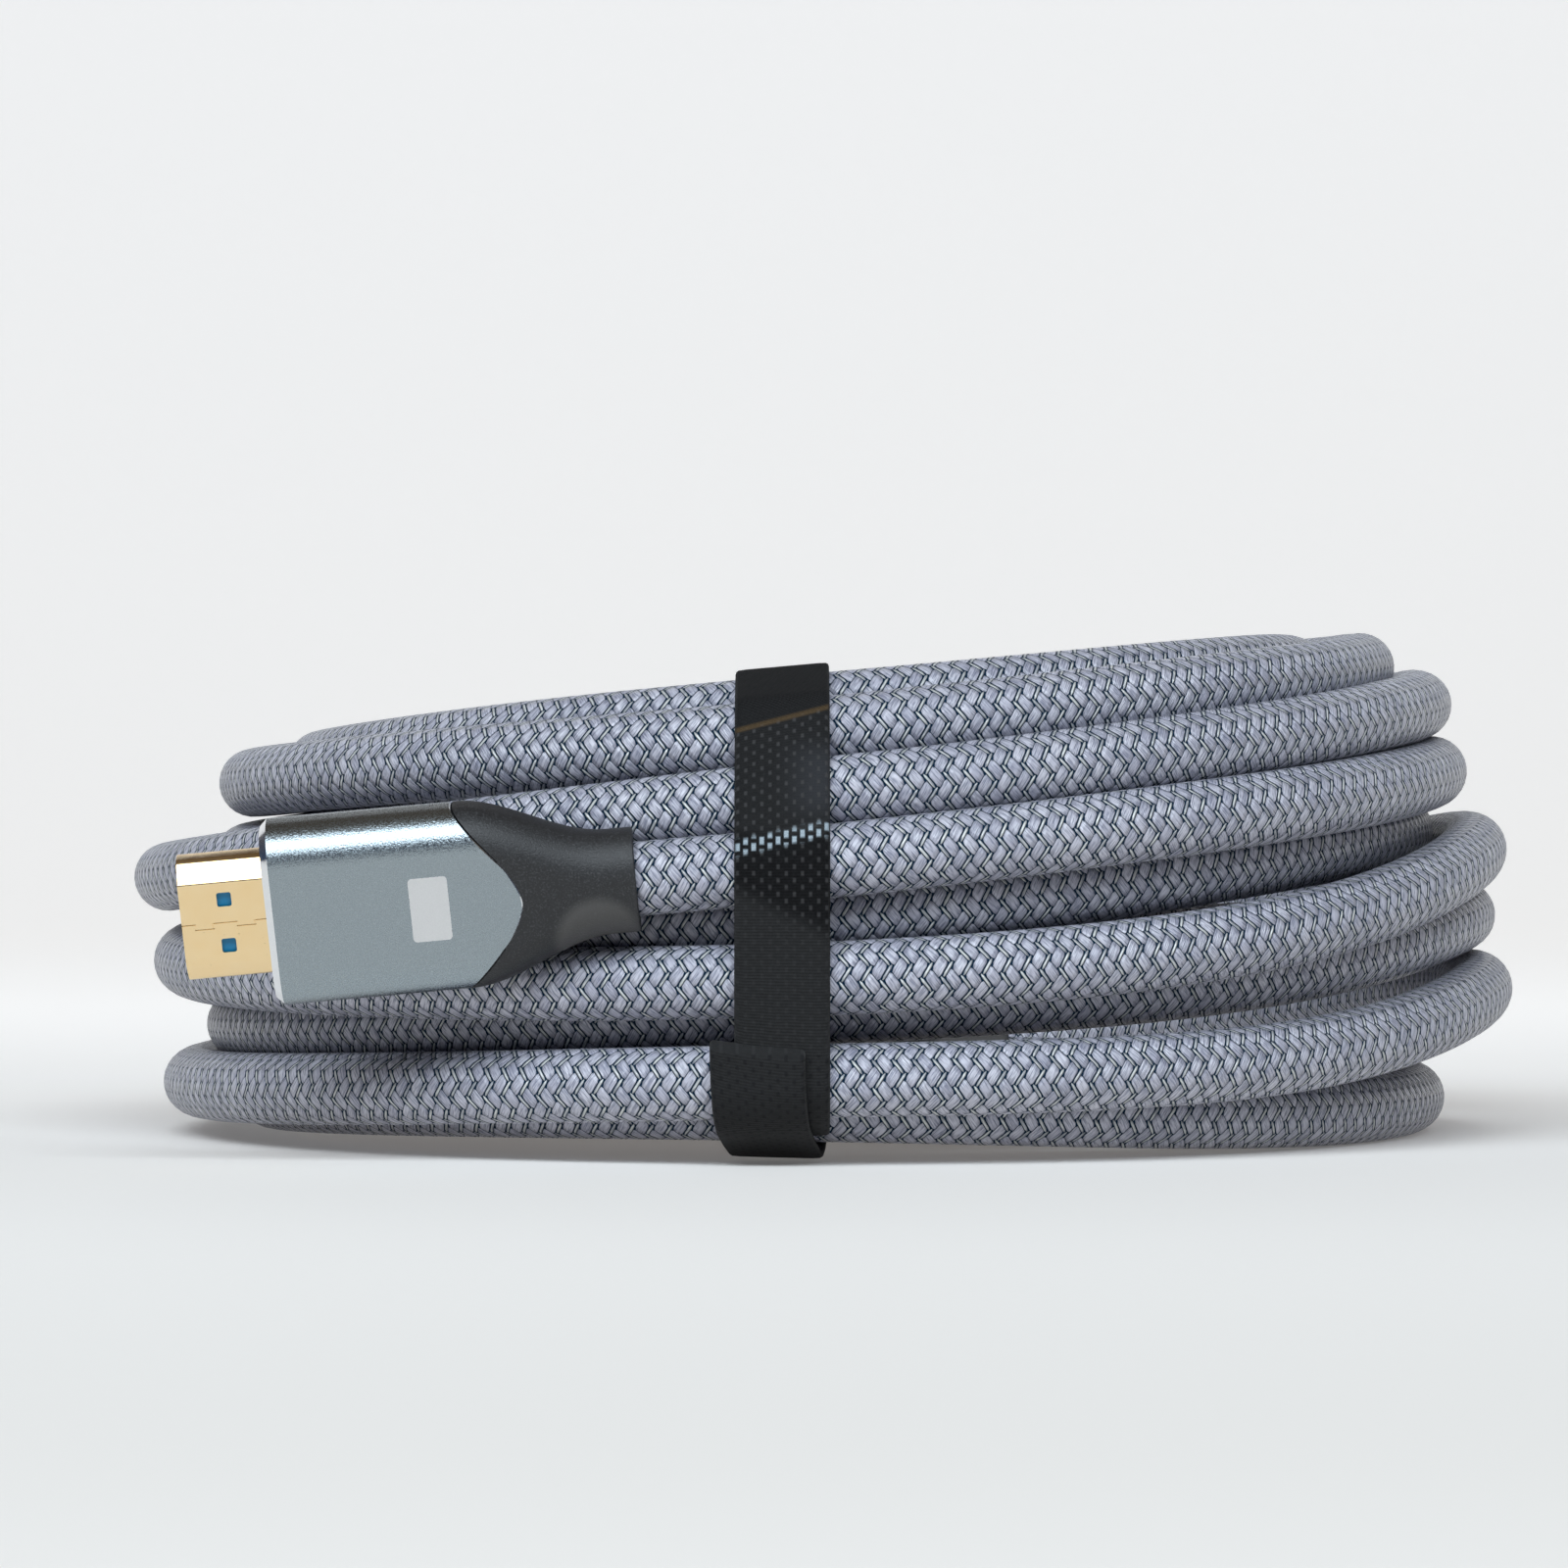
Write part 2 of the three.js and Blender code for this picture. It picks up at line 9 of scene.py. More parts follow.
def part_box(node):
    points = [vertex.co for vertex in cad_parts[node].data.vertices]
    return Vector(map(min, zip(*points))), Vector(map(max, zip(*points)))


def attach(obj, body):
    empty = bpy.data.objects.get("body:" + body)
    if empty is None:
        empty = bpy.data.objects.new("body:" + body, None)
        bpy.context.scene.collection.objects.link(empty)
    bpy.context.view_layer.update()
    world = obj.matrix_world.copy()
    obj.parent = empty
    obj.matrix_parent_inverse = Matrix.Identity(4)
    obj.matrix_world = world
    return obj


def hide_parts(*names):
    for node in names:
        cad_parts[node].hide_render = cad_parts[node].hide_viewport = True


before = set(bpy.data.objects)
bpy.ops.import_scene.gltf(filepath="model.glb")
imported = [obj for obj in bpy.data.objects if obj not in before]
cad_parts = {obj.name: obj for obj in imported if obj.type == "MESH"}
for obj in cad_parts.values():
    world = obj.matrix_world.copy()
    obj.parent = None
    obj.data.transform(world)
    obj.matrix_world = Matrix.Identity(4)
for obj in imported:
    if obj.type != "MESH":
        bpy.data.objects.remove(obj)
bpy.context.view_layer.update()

MM = 0.001

# Cable and coil, in millimetres from the coil's axis and the floor, as in the part's source
CABLE_DIAMETER = 8.2
CABLE_RADIUS = CABLE_DIAMETER / 2
COIL_OUTER_RADIUS = 83.7
TURN_RADIUS = COIL_OUTER_RADIUS - CABLE_RADIUS
SEAT_GAP = 0.3
STRAP_MIDDLE = -5.0
RIGHT_BEARINGS = (-45, 0, 90, 180)
TURNS = (
    ((1.0, 33.0), (1.5, 40.2), (7.5, 44.5), (2.1, 37.0), (0.0, 29.7)),
    ((4.6, 40.2), (4.8, 47.7), (9.6, 52.5), (8.6, 45.0), (10.8, 41.4)),
    ((9.0, 47.0), (11.0, 53.5), (15.1, 55.5), (15.1, 51.0), (19.2, 43.5)),
    ((16.0, 49.9), (19.5, 54.8), (23.0, 55.6), (17.6, 42.5), (9.6, 32.5)),
    ((12.0, 36.5), (13.0, 42.0), (16.6, 46.0), (18.6, 34.0), (19.1, 27.0)),
    ((15.0, 22.0), (15.5, 24.5), (9.6, 24.0), (12.1, 27.0), (11.1, 23.5)),
    ((7.0, 26.3), (7.5, 34.0), (10.6, 37.0), (3.6, 27.5), (2.9, 20.6)),
    ((1.0, 20.0), (1.0, 25.1), (1.2, 36.6), (8.1, 19.0), (9.1, 12.5)),
    ((8.6, 17.0), (8.0, 20.0), (1.6, 27.7), (1.6, 11.0), (4.2, 5.7)),
    ((1.0, 9.4), (1.5, 10.3), (0.0, 19.4), (8.6, 4.1), (13.1, 4.3)),
    ((8.0, 6.9), (8.5, 4.1), (8.7, 4.1)),
)
LEAD_A_POINTS = (
    (-5.0, -78.6, 33.0), (-10.2, -78.6, 32.5), (-15.5, -78.6, 32.05), (-20.7, -78.6, 31.6),
)
LEAD_B_POINTS = (
    (70.9, 0.0, 4.1), (70.3, 7.0, 4.1), (68.4, 13.8, 4.1), (65.4, 20.1, 4.1), (61.3, 25.9, 4.1),
    (56.2, 30.9, 4.1), (50.5, 34.9, 4.1), (44.2, 37.8, 4.2), (37.5, 39.5, 4.6), (30.6, 40.0, 5.1),
    (24.0, 40.0, 5.25),
)
FULL_TURN = 360
STATIONS = 54
STATION_STEP = FULL_TURN / STATIONS
SETTLE_ROUNDS = 60
SETTLE_SMOOTHING = 0.2
SETTLE_RETURN = 0.04
STRAP_BEARING = -90 + math.degrees(math.asin(STRAP_MIDDLE / (TURN_RADIUS - TURNS[0][0][0])))

# Plug body and shell, along the plug from where the cable enters
BODY_LENGTH = 40.6
BODY_WIDTH = 20.8
BODY_THICKNESS = 10.5
BODY_CORNER = 4.6
HOUSING_SIDE_LENGTH = 21.1
HOUSING_TONGUE = 7.0
HOUSING_CHAMFER = 0.8
RELIEF_END_WIDTH = 11.6
RELIEF_END_THICKNESS = 10.0
RELIEF_END_CORNER = 4.9
RELIEF_NECK = 3.0
RELIEF_SHOULDER = 19.0
SHELL_WIDTH = 13.9
SHELL_THICKNESS = 4.45
SHELL_NARROW_WIDTH = 9.2
SHELL_BEVEL_DROP = 1.7
SHELL_WALL = 0.3
SHELL_REACH = 9.5
SHELL_SEAT_DEPTH = 3.0
WINDOW_SIZE = 1.6
WINDOW_SPACING = 5.3
WINDOW_SETBACK = 4.95
INSERT_SETBACK = 0.5
SLOT_THICKNESS = 1.7
SLOT_DEPTH = 8.0
PLUG_A_DIP = 5.2
PLUG_A_ROLL = 17.0

# The coil's axis on the floor, in the frame: plug B's shell lies square to it at a known place
shell_low, shell_high = (Vector(corner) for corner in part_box("plug_b_shell"))
SHELL_B_TIP = LEAD_B_POINTS[-1][0] - SEAT_GAP - BODY_LENGTH - SHELL_REACH
COIL_MIDDLE = Vector((
    shell_low.x - SHELL_B_TIP * MM,
    (shell_low.y + shell_high.y) / 2 - LEAD_B_POINTS[-1][1] * MM,
    (shell_low.z + shell_high.z) / 2 - BODY_THICKNESS / 2 * MM,
))


def in_frame(point):
    """A point in millimetres from the coil's axis, as a place in the frame."""
    return COIL_MIDDLE + Vector(point) * MM


# Camera: level with the coil's upper half, a long lens three quarters of a metre away
PHOTO_PIXELS = 1600
PIXELS_PER_MM = 9.3
FRONT_DISTANCE = 750.0
AXIS_DISTANCE = 830.0
AXIS_RIGHT_OF_VIEW = 4.8
EYE_HEIGHT = 45.0
AIM_HEIGHT = 42.0


def add_camera():
    data = bpy.data.cameras.new("camera")
    data.sensor_width = 36.0
    data.sensor_fit = "HORIZONTAL"
    data.lens = PIXELS_PER_MM * FRONT_DISTANCE / PHOTO_PIXELS * data.sensor_width
    data.clip_start = 0.01
    camera = bpy.data.objects.new("camera", data)
    bpy.context.scene.collection.objects.link(camera)
    eye = in_frame((-AXIS_RIGHT_OF_VIEW, -AXIS_DISTANCE, EYE_HEIGHT))
    aim = in_frame((-AXIS_RIGHT_OF_VIEW, FRONT_DISTANCE - AXIS_DISTANCE, AIM_HEIGHT))
    camera.location = eye
    camera.rotation_euler = (aim - eye).to_track_quat("-Z", "Y").to_euler()
    bpy.context.scene.camera = camera


# The cable's middle line

def smooth_between(knots, degrees, column):
    """Smooth value between knots (degrees, distance, height) at a number of degrees."""
    i = next((k for k in range(len(knots) - 1) if knots[k + 1][0] > degrees), len(knots) - 2)

    def slope(k):
        before = knots[max(k - 1, 0)]
        after = knots[min(k + 1, len(knots) - 1)]
        return (after[column] - before[column]) / (after[0] - before[0])

    span = knots[i + 1][0] - knots[i][0]
    t = (degrees - knots[i][0]) / span
    first = (1 + 2 * t) * (1 - t) ** 2 * knots[i][column] + t * (1 - t) ** 2 * span * slope(i)
    second = t * t * (3 - 2 * t) * knots[i + 1][column] + t * t * (t - 1) * span * slope(i + 1)
    return first + second


def settle(targets):
    """Eases turns that cross the same station apart until they lie a diameter from each other."""
    path = targets.copy()
    for _ in range(SETTLE_ROUNDS):
        before = np.vstack([path[:1], path[:-1]])
        after = np.vstack([path[1:], path[-1:]])
        moved = path + SETTLE_SMOOTHING * (before + after - 2 * path) + SETTLE_RETURN * (targets - path)
        for shift in range(STATIONS, len(path), STATIONS):
            apart = path[shift:] - path[:-shift]
            distance = np.hypot(apart[:, 0], apart[:, 1])
            push = np.maximum(CABLE_DIAMETER - distance, 0) / (2 * distance)
            moved[:-shift] -= apart * push[:, None]
            moved[shift:] += apart * push[:, None]
        moved[:, 0] = np.minimum(moved[:, 0], TURN_RADIUS)
        moved[:, 1] = np.maximum(moved[:, 1], CABLE_RADIUS)
        moved[0] = targets[0]
        path = moved
    return path


def coil_points():
    """Middle of the cable at every station of every turn, in millimetres from the coil's axis."""
    bearings = (STRAP_BEARING,) + RIGHT_BEARINGS
    knots = [
        (FULL_TURN * k + bearings[n] - STRAP_BEARING, TURN_RADIUS - inset, height)
        for k, turn in enumerate(TURNS)
        for n, (inset, height) in enumerate(turn)
    ]
    count = int(knots[-1][0] / STATION_STEP) + 1
    steps = [i * STATION_STEP for i in range(count)]
    targets = np.array([[smooth_between(knots, step, column) for column in (1, 2)] for step in steps])
    laid = settle(targets)
    turned = np.radians(STRAP_BEARING + np.array(steps))
    return np.column_stack([laid[:, 0] * np.cos(turned), laid[:, 0] * np.sin(turned), laid[:, 1]])


FINER = 4  # a curve is first laid this many times finer than its spacing


def catmull_rom(points, spacing):
    """A smooth line through points, as points at a near even spacing."""
    points = np.asarray(points, dtype=float)
    ends = np.vstack([2 * points[0] - points[1], points, 2 * points[-1] - points[-2]])
    pieces = []
    for i in range(1, len(ends) - 2):
        p0, p1, p2, p3 = ends[i - 1:i + 3]
        count = max(int(round(np.linalg.norm(p2 - p1) / spacing * FINER)), FINER)
        t = np.linspace(0, 1, count, endpoint=False)[:, None]
        pieces.append(0.5 * (
            2 * p1 + (p2 - p0) * t + (2 * p0 - 5 * p1 + 4 * p2 - p3) * t ** 2
            + (3 * p1 - p0 - 3 * p2 + p3) * t ** 3
        ))
    fine = np.vstack(pieces + [ends[-2:-1]])
    along = np.concatenate([[0], np.cumsum(np.linalg.norm(np.diff(fine, axis=0), axis=1))])
    even = np.linspace(0, along[-1], int(round(along[-1] / spacing)) + 1)
    return np.column_stack([np.interp(even, along, fine[:, axis]) for axis in range(3)])


CABLE_SPACING = 2.4
CABLE_SIDES = 28
INTO_RELIEF = 1.5  # the cable's ends run this far into the strain reliefs


def cable_line():
    """The whole cable's middle line, from plug A through the coil to plug B, in millimetres."""
    lead_a = np.array(LEAD_A_POINTS[::-1])
    lead_b = np.array(LEAD_B_POINTS)
    out_a = lead_a[0] - lead_a[1]
    out_b = lead_b[-1] - lead_b[-2]
    start = lead_a[0] + out_a / np.linalg.norm(out_a) * INTO_RELIEF
    end = lead_b[-1] + out_b / np.linalg.norm(out_b) * INTO_RELIEF
    route = np.vstack([[start], lead_a[:-1], coil_points(), lead_b[1:], [end]])
    return catmull_rom(route, CABLE_SPACING)


def sweep_frames(line):
    """Two directions across the line at each point, carried along it without twisting."""
    along = np.gradient(line, axis=0)
    along /= np.linalg.norm(along, axis=1)[:, None]
    up = np.array([0.0, 0.0, 1.0])
    first = np.zeros_like(line)
    current = up - along[0] * np.dot(up, along[0])
    for i, direction in enumerate(along):
        current = current - direction * np.dot(current, direction)
        current = current / np.linalg.norm(current)
        first[i] = current
    return first, np.cross(along, first)


# Meshes

def new_object(name, vertices, faces, materials=(), smooth=True, loop_uv=None, slots=None):
    mesh = bpy.data.meshes.new(name)
    mesh.from_pydata([tuple(v) for v in vertices], [], [tuple(f) for f in faces])
    for material in materials:
        mesh.materials.append(material)
    if loop_uv is not None:
        layer = mesh.uv_layers.new(name="Lay")
        layer.data.foreach_set("uv", np.asarray(loop_uv, dtype=np.float32).ravel())
    if slots is not None:
        mesh.polygons.foreach_set("material_index", slots)
    mesh.polygons.foreach_set("use_smooth", [smooth] * len(mesh.polygons))
    mesh.validate()
    mesh.update()
    thing = bpy.data.objects.new(name, mesh)
    bpy.context.scene.collection.objects.link(thing)
    return thing


def tube_mesh(name, line_mm, radius, sides, material):
    """A closed tube along a line, its UV map turns round it and millimetres along it."""
    first, second = sweep_frames(line_mm)
    turn = np.linspace(0, 2 * np.pi, sides, endpoint=False)[None, :, None]
    ring = np.cos(turn) * first[:, None, :] + np.sin(turn) * second[:, None, :]
    points = line_mm[:, None, :] + radius * ring
    vertices = [in_frame(point) for point in points.reshape(-1, 3)]
    steps = np.concatenate([[0], np.cumsum(np.linalg.norm(np.diff(line_mm, axis=0), axis=1))])
    faces = []
    uvs = []
    for i in range(len(line_mm) - 1):
        for j in range(sides):
            k = (j + 1) % sides
            faces.append((i * sides + j, i * sides + k, (i + 1) * sides + k, (i + 1) * sides + j))
            uvs += [
                (j / sides, steps[i]), ((j + 1) / sides, steps[i]),
                ((j + 1) / sides, steps[i + 1]), (j / sides, steps[i + 1]),
            ]
    last = (len(line_mm) - 1) * sides
    faces.append(tuple(range(sides - 1, -1, -1)))
    faces.append(tuple(range(last, last + sides)))
    uvs += [(0.0, 0.0)] * (2 * sides)
    return new_object(name, vertices, faces, [material], loop_uv=uvs)


# Materials

class Nodes:
    """Builds a material's nodes; values are numbers or sockets."""

    def __init__(self, name):
        self.material = bpy.data.materials.new(name)
        self.material.use_nodes = True
        self.tree = self.material.node_tree
        self.shader = self.tree.nodes["Principled BSDF"]

    def add(self, kind, **settings):
        node = self.tree.nodes.new(kind)
        for key, value in settings.items():
            setattr(node, key, value)
        return node

    def put(self, socket, value):
        if isinstance(value, bpy.types.NodeSocket):
            self.tree.links.new(value, socket)
        else:
            socket.default_value = value

    def math(self, operation, *values):
        node = self.add("ShaderNodeMath", operation=operation)
        for socket, value in zip(node.inputs, values):
            self.put(socket, value)
        return node.outputs[0]

    def choose(self, switch, when_one, when_zero):
        """One of two values, by a switch that is 0 or 1."""
        node = self.add("ShaderNodeMix", data_type="FLOAT")
        self.put(node.inputs["Factor"], switch)
        self.put(node.inputs[2], when_zero)
        self.put(node.inputs[3], when_one)
        return node.outputs[0]

    def ramp(self, value, low, high, to_low=0.0, to_high=1.0):
        """A smooth step of a value between two limits."""
        node = self.add("ShaderNodeMapRange", interpolation_type="SMOOTHSTEP")
        for name, amount in zip(("Value", "From Min", "From Max", "To Min", "To Max"),
                                (value, low, high, to_low, to_high)):
            self.put(node.inputs[name], amount)
        return node.outputs["Result"]

    def mix(self, share, first, second):
        """Mixes two colours."""
        node = self.add("ShaderNodeMix", data_type="RGBA")
        self.put(node.inputs["Factor"], share)
        self.put(node.inputs[6], first)
        self.put(node.inputs[7], second)
        return node.outputs[2]

    def noise(self, scale, detail=3.0, vector=None):
        node = self.add("ShaderNodeTexNoise")
        node.inputs["Scale"].default_value = scale
        node.inputs["Detail"].default_value = detail
        if vector is not None:
            self.put(node.inputs["Vector"], vector)
        return node.outputs["Fac"]

    def times(self, a, b):
        return self.math("MULTIPLY", a, b)

    def plus(self, a, b):
        return self.math("ADD", a, b)

    def minus(self, a, b):
        return self.math("SUBTRACT", a, b)

    def unsigned(self, a):
        return self.math("ABSOLUTE", a)

    def bump(self, height, distance, strength=1.0):
        node = self.add("ShaderNodeBump")
        node.inputs["Strength"].default_value = strength
        node.inputs["Distance"].default_value = distance
        self.put(node.inputs["Height"], height)
        return node.outputs["Normal"]

    def uv(self):
        """The two coordinates of the piece's own map."""
        source = self.add("ShaderNodeUVMap", uv_map="Lay")
        split = self.add("ShaderNodeSeparateXYZ")
        self.put(split.inputs[0], source.outputs[0])
        return split.outputs[0], split.outputs[1]

    def place(self):
        """The piece's own coordinates, in metres."""
        return self.add("ShaderNodeTexCoord").outputs["Object"]

    def finish(self, **values):
        names = {
            "color": "Base Color", "roughness": "Roughness", "metallic": "Metallic", "normal": "Normal",
            "specular": "Specular IOR Level", "sheen": "Sheen Weight",
        }
        for key, value in values.items():
            self.put(self.shader.inputs[names[key]], value)
        return self.material


BRAID_PAIRS = 8
BRAID_PITCH = 2.13
RIBBON_SHARE = 0.74  # of each pair: a wide ribbon and a narrow pale strand beside it
TINTS_APART = 57.0  # keeps the random tints of the two ways round apart
RIBBON_COLORS = (0.41, 0.405, 0.485, 1), (0.57, 0.56, 0.63, 1)
STRAND_COLOR = (0.60, 0.61, 0.59, 1)
FILAMENT_SHADOW = (0.11, 0.125, 0.19, 1)
CROSSING_SHADOW = (0.05, 0.07, 0.12, 1)
UNDER_BRAID = (0.006, 0.022, 0.045, 1)
BRAID_HEIGHT = 0.00026


def braid_material():
    """Flat ribbons and narrow pale strands in turn, braided two over two under."""
    nodes = Nodes("cable_braid")
    around, along = nodes.uv()
    around = nodes.times(around, float(BRAID_PAIRS))
    along = nodes.math("DIVIDE", along, BRAID_PITCH)
    ways = []
    for operation in ("ADD", "SUBTRACT"):
        place = nodes.math(operation, around, along)
        pair = nodes.math("FLOOR", place)
        share = nodes.math("FRACT", place)
        narrow = nodes.math("GREATER_THAN", share, RIBBON_SHARE)
        index = nodes.math("MULTIPLY_ADD", pair, 2.0, narrow)
        wide_across = nodes.math("DIVIDE", share, RIBBON_SHARE)
        narrow_across = nodes.math("DIVIDE", nodes.minus(share, RIBBON_SHARE), 1 - RIBBON_SHARE)
        across = nodes.choose(narrow, narrow_across, wide_across)
        ways.append((place, narrow, index, across))
    (left, left_narrow, left_index, left_across), (right, right_narrow, right_index, right_across) = ways
    row = nodes.math("FLOORED_MODULO", nodes.plus(left_index, right_index), 4.0)
    left_on_top = nodes.math("LESS_THAN", row, 1.5)
    left_passed = nodes.math("FRACT", nodes.math("MULTIPLY_ADD", left_narrow, -RIBBON_SHARE, right))
    right_passed = nodes.math("FRACT", nodes.math("MULTIPLY_ADD", right_narrow, -RIBBON_SHARE, left))
    narrow = nodes.choose(left_on_top, left_narrow, right_narrow)
    across = nodes.choose(left_on_top, left_across, right_across)
    passed = nodes.choose(left_on_top, left_passed, right_passed)
    ribbon = nodes.choose(left_on_top, left_index, nodes.plus(right_index, TINTS_APART))

    middle = nodes.unsigned(nodes.minus(across, 0.5))
    from_end = nodes.unsigned(nodes.minus(passed, 0.5))
    edge = nodes.choose(narrow, 0.40, 0.475)
    drawn_in = nodes.times(nodes.ramp(from_end, 0.30, 0.5), nodes.choose(narrow, 0.18, 0.10))
    edge = nodes.minus(edge, drawn_in)
    cover = nodes.ramp(nodes.minus(edge, middle), 0.0, nodes.choose(narrow, 0.16, 0.06))
    arch = nodes.ramp(from_end, 0.22, 0.52, 1.0, 0.0)
    squared = nodes.times(middle, middle)
    round_over = nodes.times(squared, nodes.choose(narrow, 2.6, 1.1))
    streak_place = nodes.add("ShaderNodeCombineXYZ")
    nodes.put(streak_place.inputs[0], nodes.times(across, nodes.choose(narrow, 2.0, 9.0)))
    nodes.put(streak_place.inputs[1], nodes.times(passed, 1.3))
    nodes.put(streak_place.inputs[2], nodes.times(ribbon, 3.7))
    streak = nodes.noise(1.0, 1.0, streak_place.outputs[0])
    filament = nodes.math("SINE", nodes.times(across, nodes.choose(narrow, 12.6, 44.0)))
    threads = nodes.math("MULTIPLY_ADD", filament, 0.05, nodes.times(streak, 0.5))
    body = nodes.minus(nodes.math("MULTIPLY_ADD", arch, 0.75, 0.4), round_over)
    height = nodes.times(cover, nodes.plus(body, threads))

    tint = nodes.add("ShaderNodeTexWhiteNoise", noise_dimensions="1D")
    nodes.put(tint.inputs["W"], ribbon)
    yarn = nodes.mix(narrow, nodes.mix(tint.outputs["Value"], *RIBBON_COLORS), STRAND_COLOR)
    dark_lines = nodes.ramp(streak, 0.36, 0.60, 0.6, 0.0)
    yarn = nodes.mix(dark_lines, yarn, FILAMENT_SHADOW)
    end_shade = nodes.times(nodes.ramp(from_end, 0.36, 0.5), 0.35)
    yarn = nodes.mix(end_shade, yarn, CROSSING_SHADOW)
    color = nodes.mix(cover, UNDER_BRAID, yarn)
    normal = nodes.bump(height, BRAID_HEIGHT)
    roughness = nodes.math("MULTIPLY_ADD", streak, 0.20, 0.20)
    specular = nodes.times(cover, 0.95)
    return nodes.finish(color=color, roughness=roughness, specular=specular, normal=normal, sheen=0.1)


# Plugs

def plug_matrix(place, nose, narrow):
    """From a plug's own millimetres to the frame: X along the nose, Z to the shell's narrow side."""
    across = narrow.cross(nose).normalized()
    turn = Matrix((nose, across, narrow)).transposed()
    origin = in_frame(Vector(place) + nose * SEAT_GAP)
    return Matrix.Translation(origin) @ turn.to_4x4() @ Matrix.Scale(MM, 4)


def plug_places():
    dip = math.radians(PLUG_A_DIP)
    nose = Vector((-math.cos(dip), 0.0, -math.sin(dip)))
    level = Matrix.Rotation(-math.radians(PLUG_A_ROLL), 3, nose) @ Vector((0.0, -1.0, 0.0))
    lying = (*LEAD_B_POINTS[-1][:2], BODY_THICKNESS / 2)
    return {
        "a": plug_matrix(LEAD_A_POINTS[-1], nose, level),
        "b": plug_matrix(lying, Vector((-1.0, 0.0, 0.0)), Vector((0.0, 0.0, 1.0))),
    }


def rounded_outline(corners, radii, steps):
    """A closed outline with every corner rounded, counter-clockwise."""
    points = []
    count = len(corners)
    for i, radius in enumerate(np.broadcast_to(radii, count)):
        before = np.array(corners[i - 1], dtype=float)
        here = np.array(corners[i], dtype=float)
        after = np.array(corners[(i + 1) % count], dtype=float)
        back = (before - here) / np.linalg.norm(before - here)
        ahead = (after - here) / np.linalg.norm(after - here)
        half = math.acos(float(np.clip(np.dot(back, ahead), -1, 1))) / 2
        middle = here + (back + ahead) / np.linalg.norm(back + ahead) * radius / math.sin(half)
        start = here + back * radius / math.tan(half)
        end = here + ahead * radius / math.tan(half)
        first = math.atan2(*(start - middle)[::-1])
        turn = (math.atan2(*(end - middle)[::-1]) - first + math.pi) % (2 * math.pi) - math.pi
        for k in range(steps + 1):
            angle = first + turn * k / steps
            points.append(middle + radius * np.array([math.cos(angle), math.sin(angle)]))
    return np.array(points)


def shell_corners(grow):
    """The shell's six corners, across and up, moved out by a distance."""
    side = SHELL_WIDTH / 2 + grow
    half = SHELL_THICKNESS / 2 + grow
    slant = math.atan2(SHELL_BEVEL_DROP, (SHELL_WIDTH - SHELL_NARROW_WIDTH) / 2)
    narrow = SHELL_NARROW_WIDTH / 2 + grow * math.tan(slant / 2)
    knee = SHELL_THICKNESS / 2 - SHELL_BEVEL_DROP + grow * math.tan(math.pi / 4 - slant / 2)
    return [(-side, -half), (side, -half), (side, knee), (narrow, half), (-narrow, half), (-side, knee)]


PARALLEL = 1e-12
AT_CORNER = 1e-9


def ray_to_outline(outline, directions):
    """Where rays from the middle leave an outline."""
    ahead = np.roll(outline, -1, axis=0)
    points = []
    for direction in directions:
        ray = np.array([math.cos(direction), math.sin(direction)])
        best = 0.0
        for a, b in zip(outline, ahead):
            edge = b - a
            det = ray[1] * edge[0] - ray[0] * edge[1]
            if abs(det) < PARALLEL:
                continue
            far = (a[1] * edge[0] - a[0] * edge[1]) / det
            share = (ray[0] * a[1] - ray[1] * a[0]) / det
            if far > best and -AT_CORNER <= share <= 1 + AT_CORNER:
                best = far
        points.append(ray * best)
    return np.array(points)


SKIN_CREASE = 28  # degrees between faces, from which an edge is sharp


def rings_mesh(name, rings, place, materials, slots=None):
    """Joins rings of points, each with as many, into a closed skin with a map along and across."""
    count = len(rings[0])
    points = np.concatenate(rings)
    vertices = [place @ Vector(point) for point in points]
    faces = []
    marks = []
    for i in range(len(rings) - 1):
        for j in range(count):
            k = (j + 1) % count
            faces.append((i * count + j, i * count + k, (i + 1) * count + k, (i + 1) * count + j))
            marks.append(slots[i] if slots else 0)
    faces.append(tuple(range(count - 1, -1, -1)))
    marks.append(marks[0])
    last = (len(rings) - 1) * count
    faces.append(tuple(range(last, last + count)))
    marks.append(marks[-2])
    loop_uv = [tuple(points[index][:2]) for face in faces for index in face]
    thing = new_object(name, vertices, faces, materials, loop_uv=loop_uv, slots=marks)
    thing.data.set_sharp_from_angle(angle=math.radians(SKIN_CREASE))
    return thing


def along_x(outline, x):
    """An outline across and up, set at a place along the plug, or at one for each point."""
    x = np.broadcast_to(x, len(outline))
    return np.column_stack([x, outline])


TONGUE_EDGE = ((0.29, 0.77), (0.59, 0.53), (0.82, 0.33))
TONGUE_SPACING = 0.1


def tongue_edge():
    """The housing's rear edge over one wide face: how far along it lies for each place across."""
    rim = BODY_LENGTH - HOUSING_SIDE_LENGTH
    half = BODY_WIDTH / 2
    one_side = [(rim, half)]
    one_side += [(rim - back * HOUSING_TONGUE, across * half) for back, across in TONGUE_EDGE]
    points = [(x, -y, 0.0) for x, y in one_side] + [(rim - HOUSING_TONGUE, 0.0, 0.0)]
    points += [(x, y, 0.0) for x, y in reversed(one_side)]
    curve = catmull_rom(points, TONGUE_SPACING)
    return curve[:, 1], curve[:, 0]


EDGE_ACROSS, EDGE_ALONG = tongue_edge()


def edge_at(across):
    return np.interp(across, EDGE_ACROSS, EDGE_ALONG)


BODY_CORNER_STEPS = 14
BODY_SIDE_STEPS = (14, 40)  # over the narrow and the wide side
SHORTEST_SIDE = 1.5
SHORTEST_WIDE_SIDE = 6
BY_CORNER = 0.15


def rectangle(half_width, half_height):
    return [
        (-half_width, -half_height), (half_width, -half_height),
        (half_width, half_height), (-half_width, half_height),
    ]


